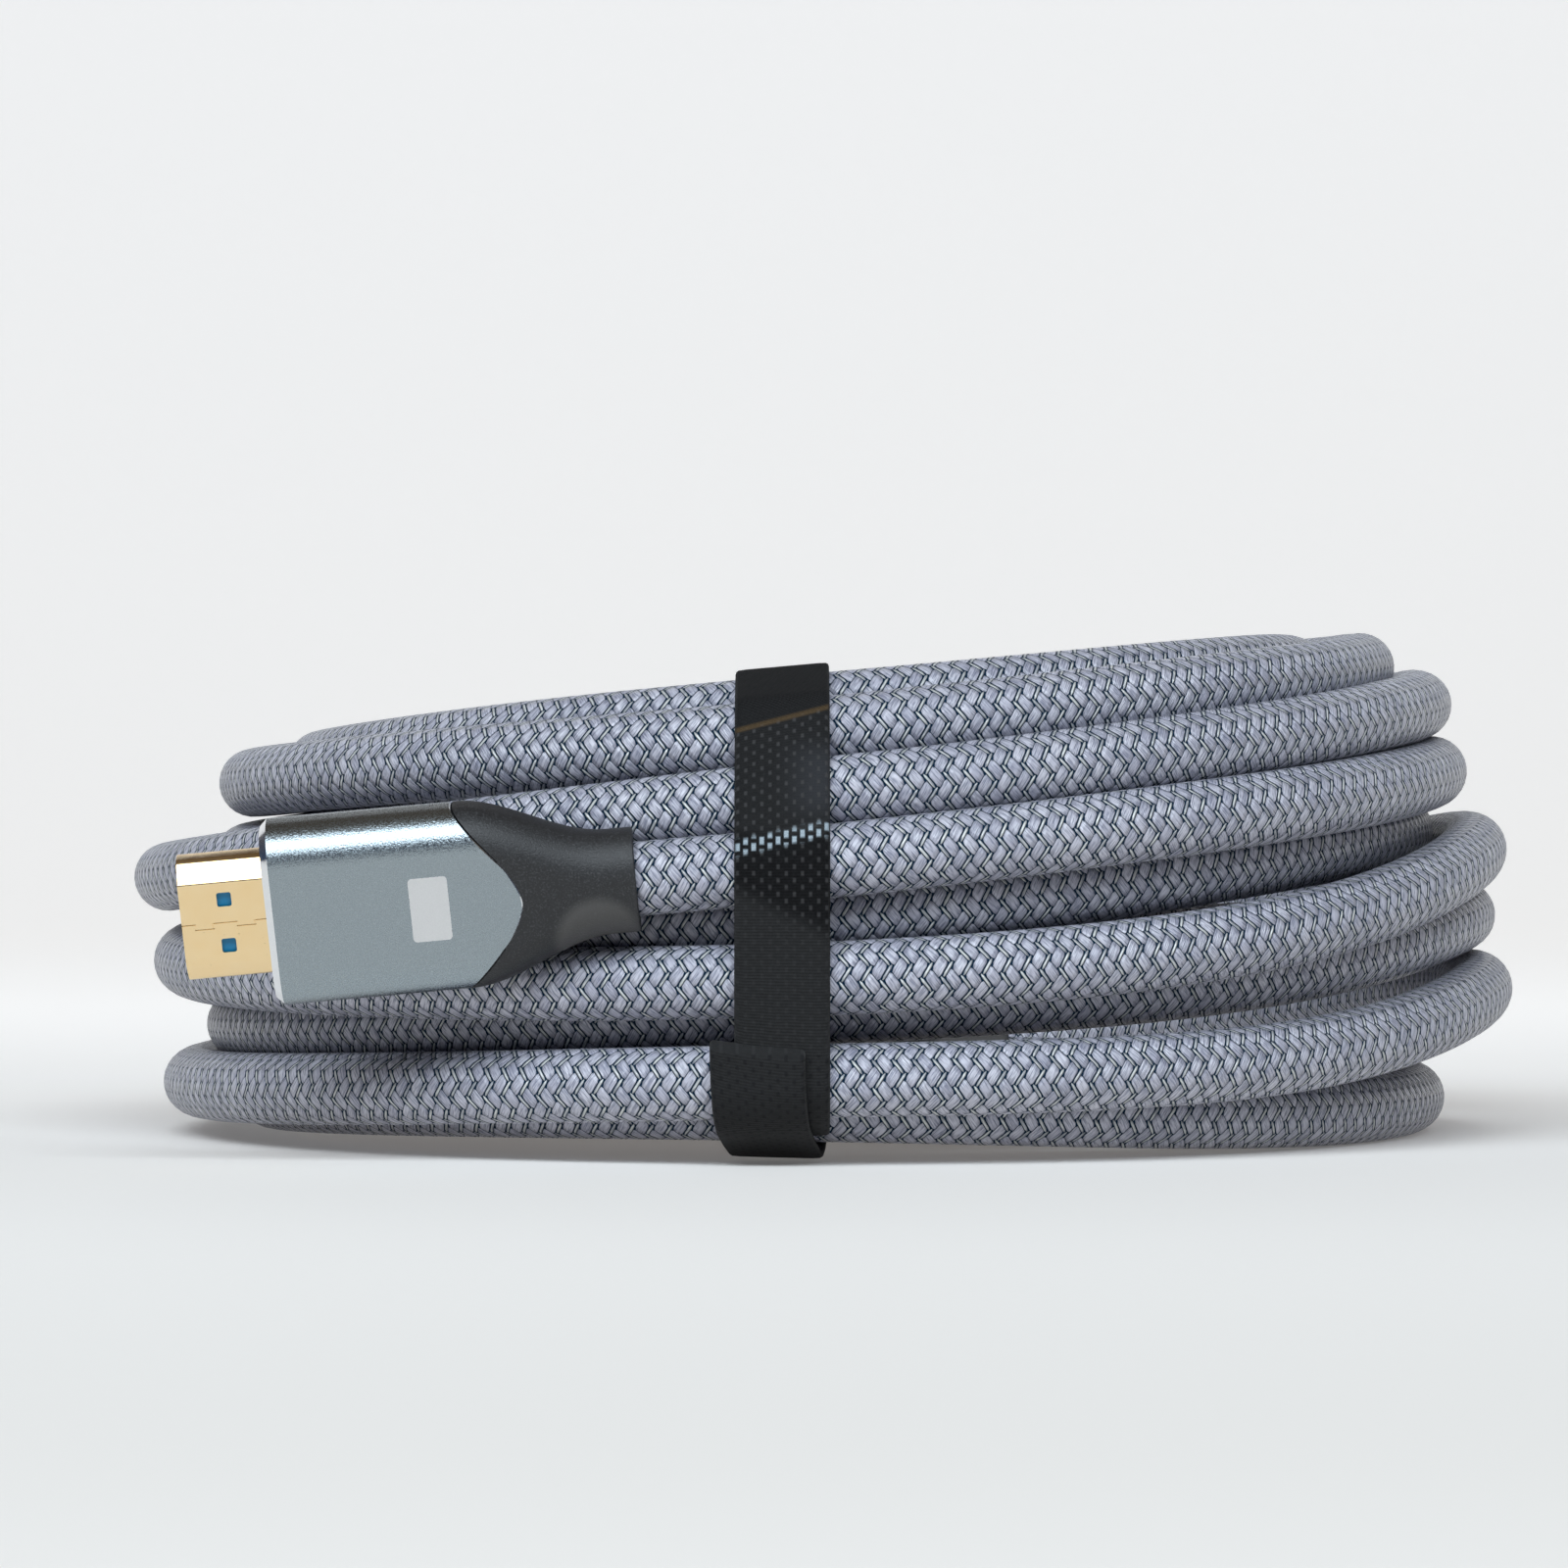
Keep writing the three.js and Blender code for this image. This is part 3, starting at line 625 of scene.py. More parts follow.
def body_outline(inset):
    """The plug body's outline, across and up, with points along its flat sides too."""
    corners = rectangle(BODY_WIDTH / 2 - inset, BODY_THICKNESS / 2 - inset)
    outline = rounded_outline(corners, BODY_CORNER - inset, BODY_CORNER_STEPS)
    dense = []
    for a, b in zip(outline, np.roll(outline, -1, axis=0)):
        gap = np.linalg.norm(b - a)
        if gap > SHORTEST_SIDE:
            even = np.linspace(0, 1, BODY_SIDE_STEPS[gap > SHORTEST_WIDE_SIDE])[1:-1]
            dense += [a + (b - a) * share for share in np.concatenate([[0, BY_CORNER / gap], even])]
            dense.append(b - (b - a) * BY_CORNER / gap)
        else:
            dense.append(a)
    return np.array(dense)


HOUSING_WALL = 1.0
REAR_EDGE_INSET = 0.12
REAR_EDGE_LENGTH = 0.14
FRONT_EDGE_LENGTH = 0.25
POCKET_CORNER = 0.5
POCKET_STEPS = 4


def add_housing(letter, place, aluminium, polished):
    """The sleeve: closed inside behind its rear edge and at the bottom of the shell's pocket."""
    outer = body_outline(0.0)
    rear = edge_at(outer[:, 0])
    softened = body_outline(REAR_EDGE_INSET)
    inner = body_outline(HOUSING_WALL)
    front = BODY_LENGTH - HOUSING_CHAMFER
    bearings = np.arctan2(outer[:, 1], outer[:, 0])
    pocket = ray_to_outline(rounded_outline(shell_corners(SEAT_GAP), POCKET_CORNER, POCKET_STEPS), bearings)
    rings = [
        along_x(inner, BODY_LENGTH - HOUSING_SIDE_LENGTH + HOUSING_WALL),
        along_x(inner, rear + 0.02), along_x(softened, rear), along_x(outer, rear + REAR_EDGE_LENGTH),
        along_x(outer, rear + (front - rear) * 0.04), along_x(outer, rear + (front - rear) * 0.5),
        along_x(outer, front - FRONT_EDGE_LENGTH), along_x(outer, front),
        along_x(body_outline(HOUSING_CHAMFER), BODY_LENGTH), along_x(pocket, BODY_LENGTH),
        along_x(pocket, BODY_LENGTH - SHELL_SEAT_DEPTH),
    ]
    slots = [0, 0, 1, 0, 0, 0, 0, 1, 1, 1]
    return rings_mesh(f"plug_{letter}_housing_skin", rings, place, [aluminium, polished], slots)


def relief_section(along, bearings):
    """The relief's outline at a place along it for each bearing, as across and up."""
    t = np.clip((along - RELIEF_NECK) / (RELIEF_SHOULDER - RELIEF_NECK), 0, 1)
    flare = t * t * (3 - 2 * t)
    width = (RELIEF_END_WIDTH + (BODY_WIDTH - RELIEF_END_WIDTH) * flare) / 2
    thick = (RELIEF_END_THICKNESS + (BODY_THICKNESS - RELIEF_END_THICKNESS) * flare) / 2
    corner = RELIEF_END_CORNER + (BODY_CORNER - RELIEF_END_CORNER) * flare
    across = np.sign(np.cos(bearings)) * (width - corner) + corner * np.cos(bearings)
    up = np.sign(np.sin(bearings)) * (thick - corner) + corner * np.sin(bearings)
    return np.column_stack([across, up])


RELIEF_SIDES = 128
RELIEF_RINGS = 44
RELIEF_HOLE_DEPTH = 1.0
END_ROUNDS = 60  # each brings the relief's end nearer to the housing's rear edge


def add_relief(letter, place, black):
    """The strain relief, from the cable's hole to the housing's rear edge."""
    bearings = (np.arange(RELIEF_SIDES) + 0.5) * 2 * np.pi / RELIEF_SIDES
    end = np.full(RELIEF_SIDES, 15.0)
    for _ in range(END_ROUNDS):
        across = relief_section(end, bearings)[:, 0]
        end = 0.5 * end + 0.5 * (edge_at(across) - SEAT_GAP * 0.5)
    hole = np.column_stack([np.cos(bearings), np.sin(bearings)]) * (CABLE_RADIUS - 0.05)
    first = relief_section(np.zeros(RELIEF_SIDES), bearings)
    rings = [
        along_x(hole, RELIEF_HOLE_DEPTH), along_x(hole, 0.0),
        along_x(first * 0.965, 0.0), along_x(first * 0.995, 0.1),
    ]
    for share in np.linspace(0.015, 1, RELIEF_RINGS):
        along = end * share
        rings.append(along_x(relief_section(along, bearings), along))
    rings.append(along_x(relief_section(end, bearings) * 0.9, end))
    return rings_mesh(f"plug_{letter}_relief_skin", rings, place, [black])


def box_points(low, high):
    return [(x, y, z) for x in (low[0], high[0]) for y in (low[1], high[1]) for z in (low[2], high[2])]


BOX_FACES = [(0, 1, 3, 2), (4, 6, 7, 5), (0, 4, 5, 1), (2, 3, 7, 6), (0, 2, 6, 4), (1, 5, 7, 3)]


def boxes_mesh(name, boxes, place, material):
    """Plain blocks, given by two opposite corners each, in one mesh."""
    vertices = []
    faces = []
    for low, high in boxes:
        base = len(vertices)
        vertices += [place @ Vector(point) for point in box_points(low, high)]
        faces += [tuple(base + index for index in face) for face in BOX_FACES]
    return new_object(name, vertices, faces, [material], smooth=False)


def prism_faces(count):
    """The faces between two outlines with as many points each, and over both."""
    faces = [tuple(range(count - 1, -1, -1)), tuple(range(count, 2 * count))]
    return faces + [(j, (j + 1) % count, count + (j + 1) % count, count + j) for j in range(count)]


def carve(thing, cutters):
    """Takes the cutters' shapes out of a piece and drops the cutters."""
    for cutter in cutters:
        modifier = thing.modifiers.new("carve", "BOOLEAN")
        modifier.operation = "DIFFERENCE"
        modifier.object = cutter
        modifier.solver = "EXACT"
    graph = bpy.context.evaluated_depsgraph_get()
    carved = bpy.data.meshes.new_from_object(thing.evaluated_get(graph))
    thing.modifiers.clear()
    thing.data = carved
    for cutter in cutters:
        bpy.data.objects.remove(cutter)


SHELL_BENDS = np.array([0.35, 0.35, 1.3, 0.4, 0.4, 1.3])
SEAM_WIDTH = 0.11
SEAM_DEPTH = 0.2
SEAM_TABS = ((1.6, 3.4, 0.62), (6.2, 8.0, 0.5))  # from and to, back from the shell's tip, and how deep
SEAM_TAB_SLANT = 0.12
SHELL_BEND_STEPS = 8
LIP_INSET = 0.05
LIP_LENGTH = 0.12
CUT_TOP = 4.0
WINDOW_CORNER = 0.25
SHELL_CREASE = 30


def add_shell(letter, place, gold):
    """The folded metal shell, its rolled lip, two windows and the seam with its tabs."""
    tip = BODY_LENGTH + SHELL_REACH
    inner_bends = np.maximum(SHELL_BENDS - SHELL_WALL, 0.1)
    outer = rounded_outline(shell_corners(0.0), SHELL_BENDS, SHELL_BEND_STEPS)
    inner = rounded_outline(shell_corners(-SHELL_WALL), inner_bends, SHELL_BEND_STEPS)
    seat = BODY_LENGTH - SHELL_SEAT_DEPTH + 0.05
    lip_out = rounded_outline(shell_corners(-LIP_INSET), SHELL_BENDS - LIP_INSET, SHELL_BEND_STEPS)
    lip_bends = inner_bends + LIP_INSET
    lip_in = rounded_outline(shell_corners(-SHELL_WALL + LIP_INSET), lip_bends, SHELL_BEND_STEPS)
    rings = [
        along_x(inner, tip - LIP_LENGTH), along_x(inner, seat), along_x(outer, seat),
        along_x(outer, tip - LIP_LENGTH), along_x(lip_out, tip), along_x(lip_in, tip),
    ]
    count = len(outer)
    vertices = [Vector(point) for point in np.concatenate(rings)]
    faces = []
    for i in range(len(rings)):
        following = (i + 1) % len(rings)
        for j in range(count):
            k = (j + 1) % count
            faces.append((i * count + j, i * count + k, following * count + k, following * count + j))
    shell = new_object(f"plug_{letter}_shell_skin", vertices, faces, [gold])
    cutters = []
    for side in (-1, 1):
        middle = (tip - WINDOW_SETBACK, side * WINDOW_SPACING / 2)
        square = rectangle(WINDOW_SIZE / 2, WINDOW_SIZE / 2)
        outline = rounded_outline(square, WINDOW_CORNER, 5) + np.array(middle)
        vertices = [(x, y, z) for z in (0.5, CUT_TOP) for x, y in outline]
        cutters.append(new_object(f"window_{side + 1}", vertices, prism_faces(len(outline))))
    path = [(0.0, 0.0)]
    for start, end, deep in SEAM_TABS:
        path += [(start, 0.0), (start - SEAM_TAB_SLANT, deep), (end + SEAM_TAB_SLANT, deep), (end, 0.0)]
    path.append((SHELL_REACH + 1.0, 0.0))
    for number, (a, b) in enumerate(zip(path, path[1:])):
        a = np.array([tip - a[0], a[1]])
        b = np.array([tip - b[0], b[1]])
        ahead = (b - a) / np.linalg.norm(b - a) * SEAM_WIDTH / 2
        aside = np.array([-ahead[1], ahead[0]])
        corners = [a - ahead - aside, a - ahead + aside, b + ahead + aside, b + ahead - aside]
        low = SHELL_THICKNESS / 2 - SEAM_DEPTH
        vertices = [(x, y, z) for z in (low, CUT_TOP) for x, y in corners]
        faces = [(0, 1, 2, 3), (7, 6, 5, 4)] + [(j, 4 + j, 4 + (j + 1) % 4, (j + 1) % 4) for j in range(4)]
        cutters.append(new_object(f"seam_{number}", vertices, faces))
    carve(shell, cutters)
    shell.data.transform(place)
    shell.data.polygons.foreach_set("use_smooth", [True] * len(shell.data.polygons))
    shell.data.set_sharp_from_angle(angle=math.radians(SHELL_CREASE))
    return shell


CONTACT_ROWS = ((10, -1), (9, 1))  # how many on each wall of the slot
CONTACT_HEIGHT = 0.18
CONTACT_HALF_WIDTH = 0.16
CONTACT_SETBACK = 0.8


def add_contacts(letter, place, gold):
    """The contacts, a millimetre apart in two rows, staggered by half of that."""
    front = BODY_LENGTH + SHELL_REACH - INSERT_SETBACK
    boxes = []
    for count, wall in CONTACT_ROWS:
        for k in range(count):
            y = k - (count - 1) / 2
            low, high = sorted((wall * SLOT_THICKNESS / 2, wall * (SLOT_THICKNESS / 2 - CONTACT_HEIGHT)))
            boxes.append((
                (front - SLOT_DEPTH + 0.2, y - CONTACT_HALF_WIDTH, low),
                (front - CONTACT_SETBACK, y + CONTACT_HALF_WIDTH, high),
            ))
    return boxes_mesh(f"plug_{letter}_contacts", boxes, place, gold)


BADGE_SIZE = (4.3, 7.3)
BADGE_FROM_RIM = 15.8
BADGE_ASIDE = -0.35
BADGE_CORNER = 0.45
BADGE_LIFTS = (-0.05, 0.03)  # its underside and top, from the housing's wide face


def add_badge(letter, place, pale):
    """A blank printed badge on the housing's wide face."""
    half_x, half_y = BADGE_SIZE[0] / 2, BADGE_SIZE[1] / 2
    middle = np.array([BODY_LENGTH - BADGE_FROM_RIM - half_x, BADGE_ASIDE])
    outline = rounded_outline(rectangle(half_x, half_y), BADGE_CORNER, 6) + middle
    top = BODY_THICKNESS / 2
    vertices = [place @ Vector((x, y, top + lift)) for lift in BADGE_LIFTS for x, y in outline]
    return new_object(f"plug_{letter}_badge", vertices, prism_faces(len(outline)), [pale], smooth=False)


def aluminium_material():
    nodes = Nodes("housing_aluminium")
    grain = nodes.noise(5200.0, 3.0, nodes.place())
    color = nodes.mix(grain, (0.28, 0.325, 0.35, 1), (0.38, 0.43, 0.455, 1))
    roughness = nodes.ramp(grain, 0.3, 0.7, 0.20, 0.34)
    return nodes.finish(
        color=color, roughness=roughness, metallic=1.0, normal=nodes.bump(grain, 0.000045),
    )


def polished_material():
    nodes = Nodes("housing_chamfer")
    wear = nodes.noise(900.0, 4.0, nodes.place())
    color = nodes.mix(wear, (0.80, 0.82, 0.84, 1), (0.9, 0.91, 0.92, 1))
    return nodes.finish(color=color, roughness=nodes.ramp(wear, 0.3, 0.8, 0.12, 0.22), metallic=1.0)


def gold_material():
    nodes = Nodes("shell_gold")
    place = nodes.place()
    wear = nodes.noise(500.0, 5.0, place)
    specks = nodes.noise(2600.0, 2.0, place)
    color = nodes.mix(wear, (0.93, 0.68, 0.36, 1), (0.97, 0.76, 0.46, 1))
    color = nodes.mix(nodes.ramp(specks, 0.72, 0.8, 0.0, 0.6), color, (0.30, 0.20, 0.10, 1))
    return nodes.finish(
        color=color, roughness=nodes.ramp(wear, 0.3, 0.75, 0.14, 0.24), metallic=1.0,
        normal=nodes.bump(wear, 0.00002, 0.4),
    )


def insert_material():
    nodes = Nodes("insert_plastic")
    flow = nodes.noise(700.0, 4.0, nodes.place())
    color = nodes.mix(flow, (0.0, 0.19, 0.42, 1), (0.002, 0.24, 0.50, 1))
    roughness = nodes.ramp(flow, 0.3, 0.7, 0.35, 0.5)
    return nodes.finish(color=color, roughness=roughness, normal=nodes.bump(flow, 0.00001))


# The middle and reach, along and across in millimetres, of a greyer oval patch on the relief.
GREY_PATCH_MIDDLE = (4.6, 5.4)
GREY_PATCH_REACH = (5.2, 5.6)


def relief_material():
    """Grained black plastic, greyer in an oval patch on one side beside the cable."""
    nodes = Nodes("relief_plastic")
    along, across = nodes.uv()
    grain = nodes.noise(5200.0, 3.0, nodes.place())
    color = nodes.mix(nodes.ramp(grain, 0.45, 0.8), (0.012, 0.012, 0.013, 1), (0.05, 0.05, 0.052, 1))
    dx = nodes.math("DIVIDE", nodes.minus(along, GREY_PATCH_MIDDLE[0]), GREY_PATCH_REACH[0])
    dy = nodes.math("DIVIDE", nodes.minus(across, GREY_PATCH_MIDDLE[1]), GREY_PATCH_REACH[1])
    squares = nodes.plus(nodes.times(dx, dx), nodes.times(dy, dy))
    far = nodes.math("SQRT", squares)
    grey_patch_share = nodes.ramp(far, 0.75, 1.05, 0.55, 0.0)
    color = nodes.mix(grey_patch_share, color, (0.10, 0.095, 0.09, 1))
    return nodes.finish(
        color=color, roughness=nodes.ramp(grain, 0.3, 0.7, 0.42, 0.6), specular=0.5,
        normal=nodes.bump(grain, 0.00006),
    )


def badge_material():
    nodes = Nodes("badge_print")
    grain = nodes.noise(6000.0, 3.0, nodes.place())
    color = nodes.mix(grain, (0.55, 0.535, 0.52, 1), (0.63, 0.615, 0.60, 1))
    return nodes.finish(color=color, roughness=0.55, normal=nodes.bump(grain, 0.00001))


# Strap

STRAP_WIDTH = 10.5
STRAP_THICKNESS = 1.0
STRAP_STEPS = 420
STRAP_START = 257
STRAP_TAIL_END = 231
STRAP_TAIL_SKEW = 2.7
STRAP_LAP_FROM = 290
STRAP_LAP_TO = 258
STRAP_CLEARANCE = 0.1
STRAP_PLANES = 6
FRONT_OF_COIL = -30  # turns cross a plane in front of this place along Y
LEAST_LEAN = 0.05  # a side that leans more from a ray than this is past it
STRAP_CREASE = 50
# Places in from the strap's edge, and the share of its thickness that is rounded off there
STRAP_EDGE = ((0.0, 0.5), (0.1, 0.2), (0.35, 0.05))
STRAP_FLAT_FROM = 1.2
STRAP_FLAT_POINTS = 6


def smoothstep(value, low, high):
    t = np.clip((value - low) / (high - low), 0, 1)
    return t * t * (3 - 2 * t)


def crossings(line_mm, x):
    """Where the front of each turn crosses a plane square to X, as Y and height."""
    found = []
    for a, b in zip(line_mm, line_mm[1:]):
        if (a[0] - x) * (b[0] - x) <= 0 and a[0] != b[0] and a[1] < FRONT_OF_COIL:
            found.append((a + (b - a) * (x - a[0]) / (b[0] - a[0]))[1:])
    return np.array(found)


def strap_mesh(line_mm, material):
    """One ribbon drawn round the bundle, its tail lapping over its own start."""
    half = STRAP_WIDTH / 2
    bearings = np.radians(np.arange(0, 360, 1.0))
    rays = np.column_stack([np.cos(bearings), np.sin(bearings)])
    planes = np.linspace(STRAP_MIDDLE - half - STRAP_TAIL_SKEW, STRAP_MIDDLE + half, STRAP_PLANES)
    bundles = [crossings(line_mm, x) for x in planes]
    centre = bundles[STRAP_PLANES // 2].mean(axis=0)
    lean_reach = np.array([((held - centre) @ rays.T).max(axis=0) for held in bundles])
    reaches = lean_reach + CABLE_RADIUS + STRAP_CLEARANCE
    level = np.linspace(-half + STRAP_FLAT_FROM, half - STRAP_FLAT_FROM, STRAP_FLAT_POINTS)
    section = [(-half + e, d) for e, d in STRAP_EDGE] + [(x, 0.0) for x in level]
    section += [(half - e, d) for e, d in STRAP_EDGE[::-1]]
    outer = [(x, STRAP_THICKNESS * (1 - d)) for x, d in section]
    inner = [(x, STRAP_THICKNESS * d) for x, d in section[::-1]]
    profile = outer + inner[1:-1]
    last = STRAP_TAIL_END - FULL_TURN
    rings = []
    for degrees in np.linspace(STRAP_START, last, STRAP_STEPS):
        climbed = smoothstep(-degrees, FULL_TURN - STRAP_LAP_FROM, FULL_TURN - STRAP_LAP_TO)
        on_tail = smoothstep(-degrees, FULL_TURN - STRAP_LAP_FROM, -last)
        ray = math.radians(degrees)
        lean = np.cos(ray - bearings)
        ahead = lean > LEAST_LEAN
        ring = []
        for x, up in profile:
            across = STRAP_MIDDLE + x - on_tail * STRAP_TAIL_SKEW
            share = (across - planes[0]) / (planes[-1] - planes[0]) * (len(planes) - 1)
            index = int(np.clip(math.floor(share), 0, len(planes) - 2))
            here = reaches[index] + (reaches[index + 1] - reaches[index]) * (share - index)
            lift = climbed * (STRAP_THICKNESS + STRAP_CLEARANCE) + up
            reach = np.min((here + lift)[ahead] / lean[ahead])
            ring.append((across, centre[0] + reach * math.cos(ray), centre[1] + reach * math.sin(ray)))
        rings.append(ring)
    middle_line = np.array([ring[5] for ring in rings])
    travelled = np.concatenate([[0], np.cumsum(np.linalg.norm(np.diff(middle_line, axis=0), axis=1))])
    count = len(profile)
    vertices = [in_frame(point) for ring in rings for point in ring]
    widths = [x for x, _ in profile]
    faces = []
    uvs = []
    for i in range(STRAP_STEPS - 1):
        for j in range(count):
            k = (j + 1) % count
            faces.append((i * count + j, i * count + k, (i + 1) * count + k, (i + 1) * count + j))
            uvs += [(widths[j], travelled[i]), (widths[k], travelled[i]),
                    (widths[k], travelled[i + 1]), (widths[j], travelled[i + 1])]
    for row, order in ((0, range(count - 1, -1, -1)), (STRAP_STEPS - 1, range(count))):
        faces.append(tuple(row * count + index for index in order))
        uvs += [(widths[index], travelled[row]) for index in order]
    strap = new_object("woven_strap", vertices, faces, [material], loop_uv=uvs)
    strap.data.set_sharp_from_angle(angle=math.radians(STRAP_CREASE))
    return strap


STITCH_ACROSS = 0.89
STITCH_ALONG = 1.5
WEFT_PITCH = 0.34
TWILL_PITCH = 0.42
# Zones by height in millimetres; the first three slant, by so much for each millimetre across
SEAM_SLANT, SEAM_HEIGHT = -0.26, 49.2
SHINE_SLANT, SHINE_HEIGHT = -0.22, 36.1
MATTE_SLANT, MATTE_FROM, MATTE_TO = 0.48, 26.6, 29.6
TAIL_TOP = 12.4
OUTSIDE_FROM, OUTSIDE_TO = -0.074, -0.070  # along Y in metres, between the strap's two runs


def strap_material():
    """Black webbing: twill above a seam, small stitches, a band where they shine with a painted highlight,
    a painted sheen over the right half above that band, unpatterned below.
    """
    nodes = Nodes("strap_webbing")
    across, along = nodes.uv()
    split = nodes.add("ShaderNodeSeparateXYZ")
    nodes.put(split.inputs[0], nodes.place())
    height = nodes.times(split.outputs[2], 1 / MM)
    fuzz = nodes.noise(3000.0, 4.0, nodes.place())

    column = nodes.math("DIVIDE", across, STITCH_ACROSS)
    stagger = nodes.times(nodes.math("FLOORED_MODULO", nodes.math("FLOOR", column), 2.0), 0.5)
    row = nodes.plus(nodes.math("DIVIDE", along, STITCH_ALONG), stagger)
    x = nodes.unsigned(nodes.minus(nodes.math("FRACT", column), 0.5))
    y = nodes.unsigned(nodes.minus(nodes.math("FRACT", row), 0.5))
    dot = nodes.times(nodes.ramp(x, 0.10, 0.30, 1.0, 0.0), nodes.ramp(y, 0.08, 0.26, 1.0, 0.0))
    float_width = nodes.ramp(x, 0.22, 0.38, 1.0, 0.0)
    long_stitch = nodes.times(float_width, nodes.ramp(y, 0.22, 0.40, 1.0, 0.0))

    below_seam = nodes.math("MULTIPLY_ADD", across, SEAM_SLANT, height)
    upper = nodes.ramp(below_seam, SEAM_HEIGHT - 0.1, SEAM_HEIGHT + 0.1)
    by_shine = nodes.math("MULTIPLY_ADD", across, SHINE_SLANT, height)
    above_shine = nodes.minus(by_shine, SHINE_HEIGHT)
    outside = nodes.ramp(split.outputs[1], OUTSIDE_FROM, OUTSIDE_TO, 1.0, 0.0)
    near_shine = nodes.ramp(nodes.unsigned(above_shine), 0.5, 1.3, 1.0, 0.0)
    shine = nodes.times(near_shine, outside)
    slanted = nodes.math("MULTIPLY_ADD", across, MATTE_SLANT, height)
    matte = nodes.ramp(slanted, MATTE_FROM, MATTE_TO, 1.0, 0.0)
    under_shine = nodes.ramp(height, 37.5, 36.0, 0.0, 1.0)
    gloss = nodes.times(under_shine, nodes.minus(1.0, matte))
    tail = nodes.ramp(height, TAIL_TOP, TAIL_TOP + 0.3, 1.0, 0.0)
    # Painted sheen: the ground is lighter grey over the right half, above the shine band and below the
    # seam.
    over_shine = nodes.ramp(height, 37.0, 41.0)
    painted_sheen_height = nodes.times(over_shine, nodes.ramp(height, 44.0, 48.0, 1.0, 0.0))
    painted_sheen = nodes.times(nodes.ramp(across, -1.5, 4.5), painted_sheen_height)

    stitch = nodes.math("MAXIMUM", dot, nodes.times(long_stitch, shine))
    hidden = nodes.math("MAXIMUM", upper, nodes.times(matte, 0.75))
    shown = nodes.minus(1.0, hidden)
    stitch = nodes.times(stitch, nodes.math("MAXIMUM", shown, tail))
    weft = nodes.math("SINE", nodes.times(along, 2 * math.pi / WEFT_PITCH))
    slant = nodes.math("MULTIPLY_ADD", across, 0.75, along)
    twill = nodes.math("SINE", nodes.times(slant, 2 * math.pi / TWILL_PITCH))
    relief = nodes.times(weft, 0.12)
    relief = nodes.math("MULTIPLY_ADD", nodes.times(twill, upper), 0.25, relief)
    relief = nodes.math("MULTIPLY_ADD", fuzz, 0.35, relief)
    stitch_relief = nodes.times(stitch, nodes.math("MULTIPLY_ADD", shine, 0.5, 0.3))
    relief = nodes.plus(relief, stitch_relief)

    ground = nodes.mix(fuzz, (0.003, 0.003, 0.0035, 1), (0.013, 0.013, 0.0135, 1))
    matte_ground = nodes.mix(fuzz, (0.008, 0.008, 0.0082, 1), (0.018, 0.018, 0.0185, 1))
    ground = nodes.mix(matte, ground, matte_ground)
    # The painted sheen, a lighter grey ground.
    ground = nodes.mix(nodes.times(painted_sheen, 0.8), ground, (0.026, 0.027, 0.031, 1))
    # Stitch colour with a painted highlight: light bluish grey where the stitches lie in the shine band,
    # dark elsewhere and darkest on the tail.
    thread_and_highlight = nodes.mix(shine, (0.040, 0.039, 0.040, 1), (0.30, 0.37, 0.42, 1))
    thread_and_highlight = nodes.mix(tail, thread_and_highlight, (0.006, 0.006, 0.007, 1))
    color = nodes.mix(nodes.times(stitch, 0.85), ground, thread_and_highlight)
    # A gold-brown line along the seam: a painted warm highlight on its crease.
    from_seam = nodes.unsigned(nodes.minus(below_seam, SEAM_HEIGHT))
    color = nodes.mix(nodes.ramp(from_seam, 0.08, 0.45, 0.6, 0.0), color, (0.09, 0.055, 0.022, 1))
    # A painted highlight: lighter grey along the strap's two edges.
    from_middle = nodes.unsigned(across)
    edge_highlight = nodes.ramp(from_middle, STRAP_WIDTH / 2 - 0.3, STRAP_WIDTH / 2 - 0.05)
    color = nodes.mix(nodes.times(edge_highlight, 0.35), color, (0.05, 0.05, 0.048, 1))
    roughness = nodes.math("MULTIPLY_ADD", shine, -0.38, 0.78)
    specular = nodes.math("MULTIPLY_ADD", nodes.times(stitch, shine), 0.6, 0.2)
    specular = nodes.math("MULTIPLY_ADD", gloss, -0.15, specular)
    normal = nodes.bump(relief, 0.00014)
    return nodes.finish(color=color, roughness=roughness, specular=specular, normal=normal)


# Stage

SWEEP_FRONT = -1.2
SWEEP_BACK = 1.6
SWEEP_CURVE = 0.7
SWEEP_TOP = 1.0
SWEEP_HALF_WIDTH = 2.5


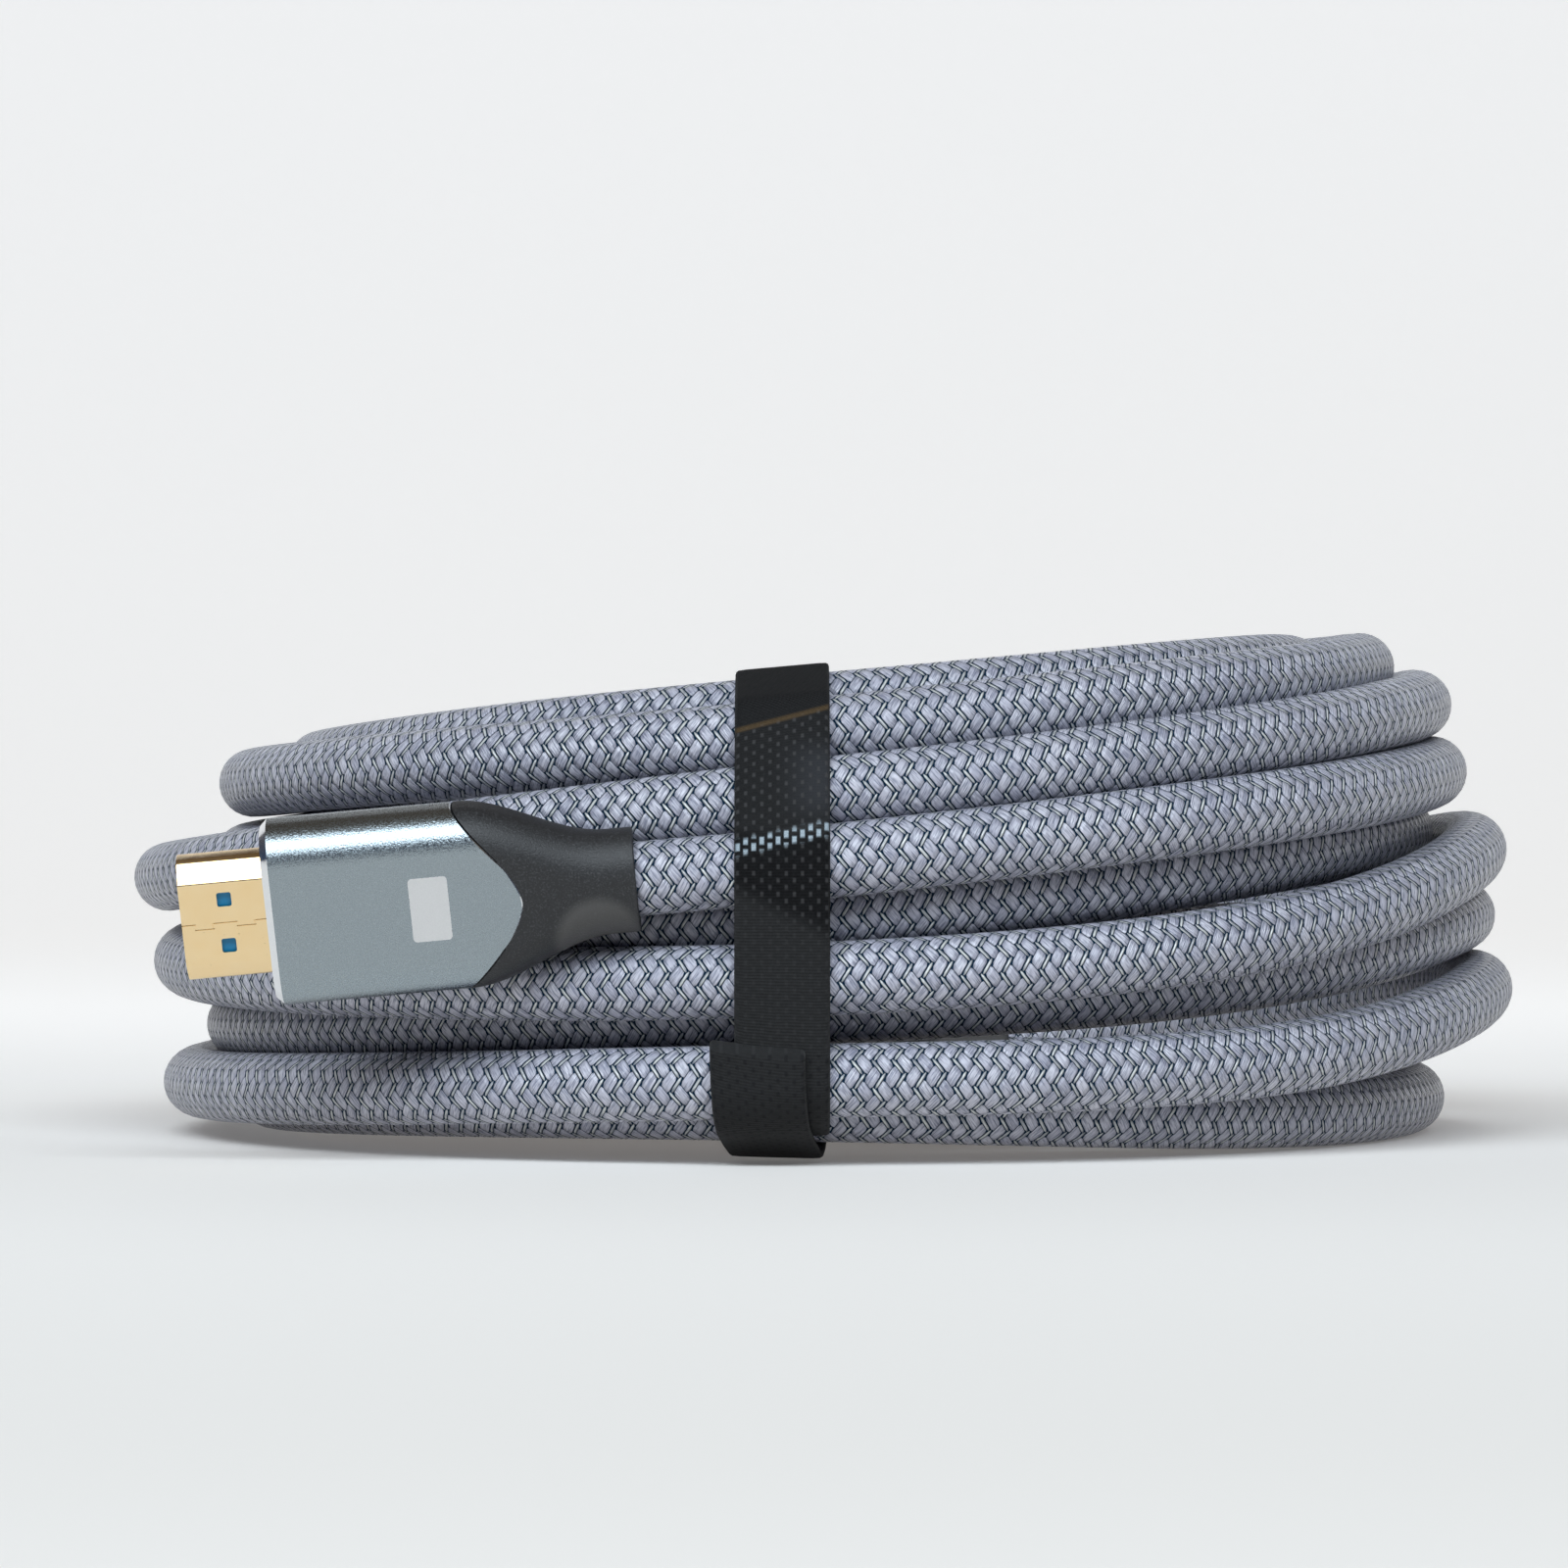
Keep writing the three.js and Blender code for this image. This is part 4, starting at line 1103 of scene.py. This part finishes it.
def add_stage():
    """A seamless pale sweep: floor, curve and back wall, with painted light and shade: glowing and lighter
    towards the back, darker at the front.
    """
    curve_from = SWEEP_BACK - SWEEP_CURVE
    profile = [(SWEEP_FRONT, 0.0), (-0.3, 0.0), (curve_from, 0.0)]
    profile += [
        (curve_from + SWEEP_CURVE * math.sin(a), SWEEP_CURVE - SWEEP_CURVE * math.cos(a))
        for a in np.linspace(0.08, math.pi / 2, 20)
    ]
    profile.append((SWEEP_BACK, SWEEP_TOP))
    vertices = [(side * SWEEP_HALF_WIDTH, y, z) for y, z in profile for side in (-1, 1)]
    faces = [(2 * i, 2 * i + 1, 2 * i + 3, 2 * i + 2) for i in range(len(profile) - 1)]
    nodes = Nodes("studio_sweep")
    split = nodes.add("ShaderNodeSeparateXYZ")
    nodes.put(split.inputs[0], nodes.place())
    far = nodes.ramp(split.outputs[1], -0.15, 0.45)
    paper = nodes.noise(900.0, 3.0, nodes.place())
    near_color = nodes.mix(paper, (0.79, 0.755, 0.72, 1), (0.81, 0.775, 0.74, 1))
    # Painted shade: the floor darker towards the front.
    ahead = nodes.ramp(split.outputs[1], -0.42, -0.12, 1.0, 0.0)
    near_color = nodes.mix(ahead, near_color, (0.64, 0.605, 0.57, 1))
    color = nodes.mix(far, near_color, (0.72, 0.715, 0.71, 1))
    # Painted light: the sweep glows, more strongly towards the back.
    nodes.put(nodes.shader.inputs["Emission Color"], (1.0, 0.99, 0.975, 1))
    nodes.put(nodes.shader.inputs["Emission Strength"], nodes.math("MULTIPLY_ADD", far, 0.42, 0.08))
    material = nodes.finish(color=color, roughness=0.8, specular=0.1)
    floor = new_object("studio_floor", vertices, faces, [material])


def add_area(name, place, aim, size, power, color):
    """A rectangular light that faces a point."""
    data = bpy.data.lights.new(name, "AREA")
    data.shape = "RECTANGLE"
    data.size, data.size_y = size
    data.energy = power
    data.color = color
    lamp = bpy.data.objects.new(name, data)
    bpy.context.scene.collection.objects.link(lamp)
    lamp.location = place
    lamp.rotation_euler = (Vector(aim) - Vector(place)).to_track_quat("-Z", "Y").to_euler()


HORIZON_COLOR = (0.05, 0.085, 0.16, 1)
CEILING_COLOR = (0.20, 0.16, 0.125, 1)


def add_lights():
    """One soft box above and behind the camera, in a dark room that is blue below and brown above."""
    world = bpy.data.worlds.new("studio")
    bpy.context.scene.world = world
    world.use_nodes = True
    tree = world.node_tree
    direction = tree.nodes.new("ShaderNodeTexCoord")
    split = tree.nodes.new("ShaderNodeSeparateXYZ")
    ramp = tree.nodes.new("ShaderNodeValToRGB")
    tree.links.new(direction.outputs["Generated"], split.inputs[0])
    tree.links.new(split.outputs[2], ramp.inputs["Fac"])
    ramp.color_ramp.elements[0].position = 0.05
    ramp.color_ramp.elements[0].color = HORIZON_COLOR
    ramp.color_ramp.elements[1].position = 0.75
    ramp.color_ramp.elements[1].color = CEILING_COLOR
    background = tree.nodes["Background"]
    tree.links.new(ramp.outputs["Color"], background.inputs["Color"])
    background.inputs["Strength"].default_value = 0.6
    add_area("key_light", (-0.12, -0.98, 0.98), (0.0, 0.0, 0.03), (1.8, 0.70), 27.0, (0.82, 0.92, 1.0))
    bpy.context.scene.view_settings.view_transform = "Standard"


add_camera()
line = cable_line()
cable = tube_mesh("braided_cable", line, CABLE_RADIUS, CABLE_SIDES, braid_material())
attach(cable, "root")
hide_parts("cable_coil", "cable_lead_a", "cable_lead_b")

strap = strap_mesh(line, strap_material())
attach(strap, "root")
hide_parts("strap")

aluminium = aluminium_material()
polished = polished_material()
gold = gold_material()
blue = insert_material()
black = relief_material()
pale = badge_material()
for letter, place in plug_places().items():
    pieces = [
        (add_housing(letter, place, aluminium, polished), "housing", "housing_aluminium"),
        (add_relief(letter, place, black), "strain_relief", "relief_plastic"),
        (add_shell(letter, place, gold), "shell", "shell_gold"),
        (add_contacts(letter, place, gold), None, "shell_gold"),
        (add_badge(letter, place, pale), None, "housing_aluminium"),
    ]
    for piece, node, slot in pieces:
        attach(piece, "root")
        if node:
            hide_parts(f"plug_{letter}_{node}")
    insert = bpy.data.objects[f"plug_{letter}_insert"]
    for slot in insert.material_slots:
        slot.material = blue

add_stage()
add_lights()
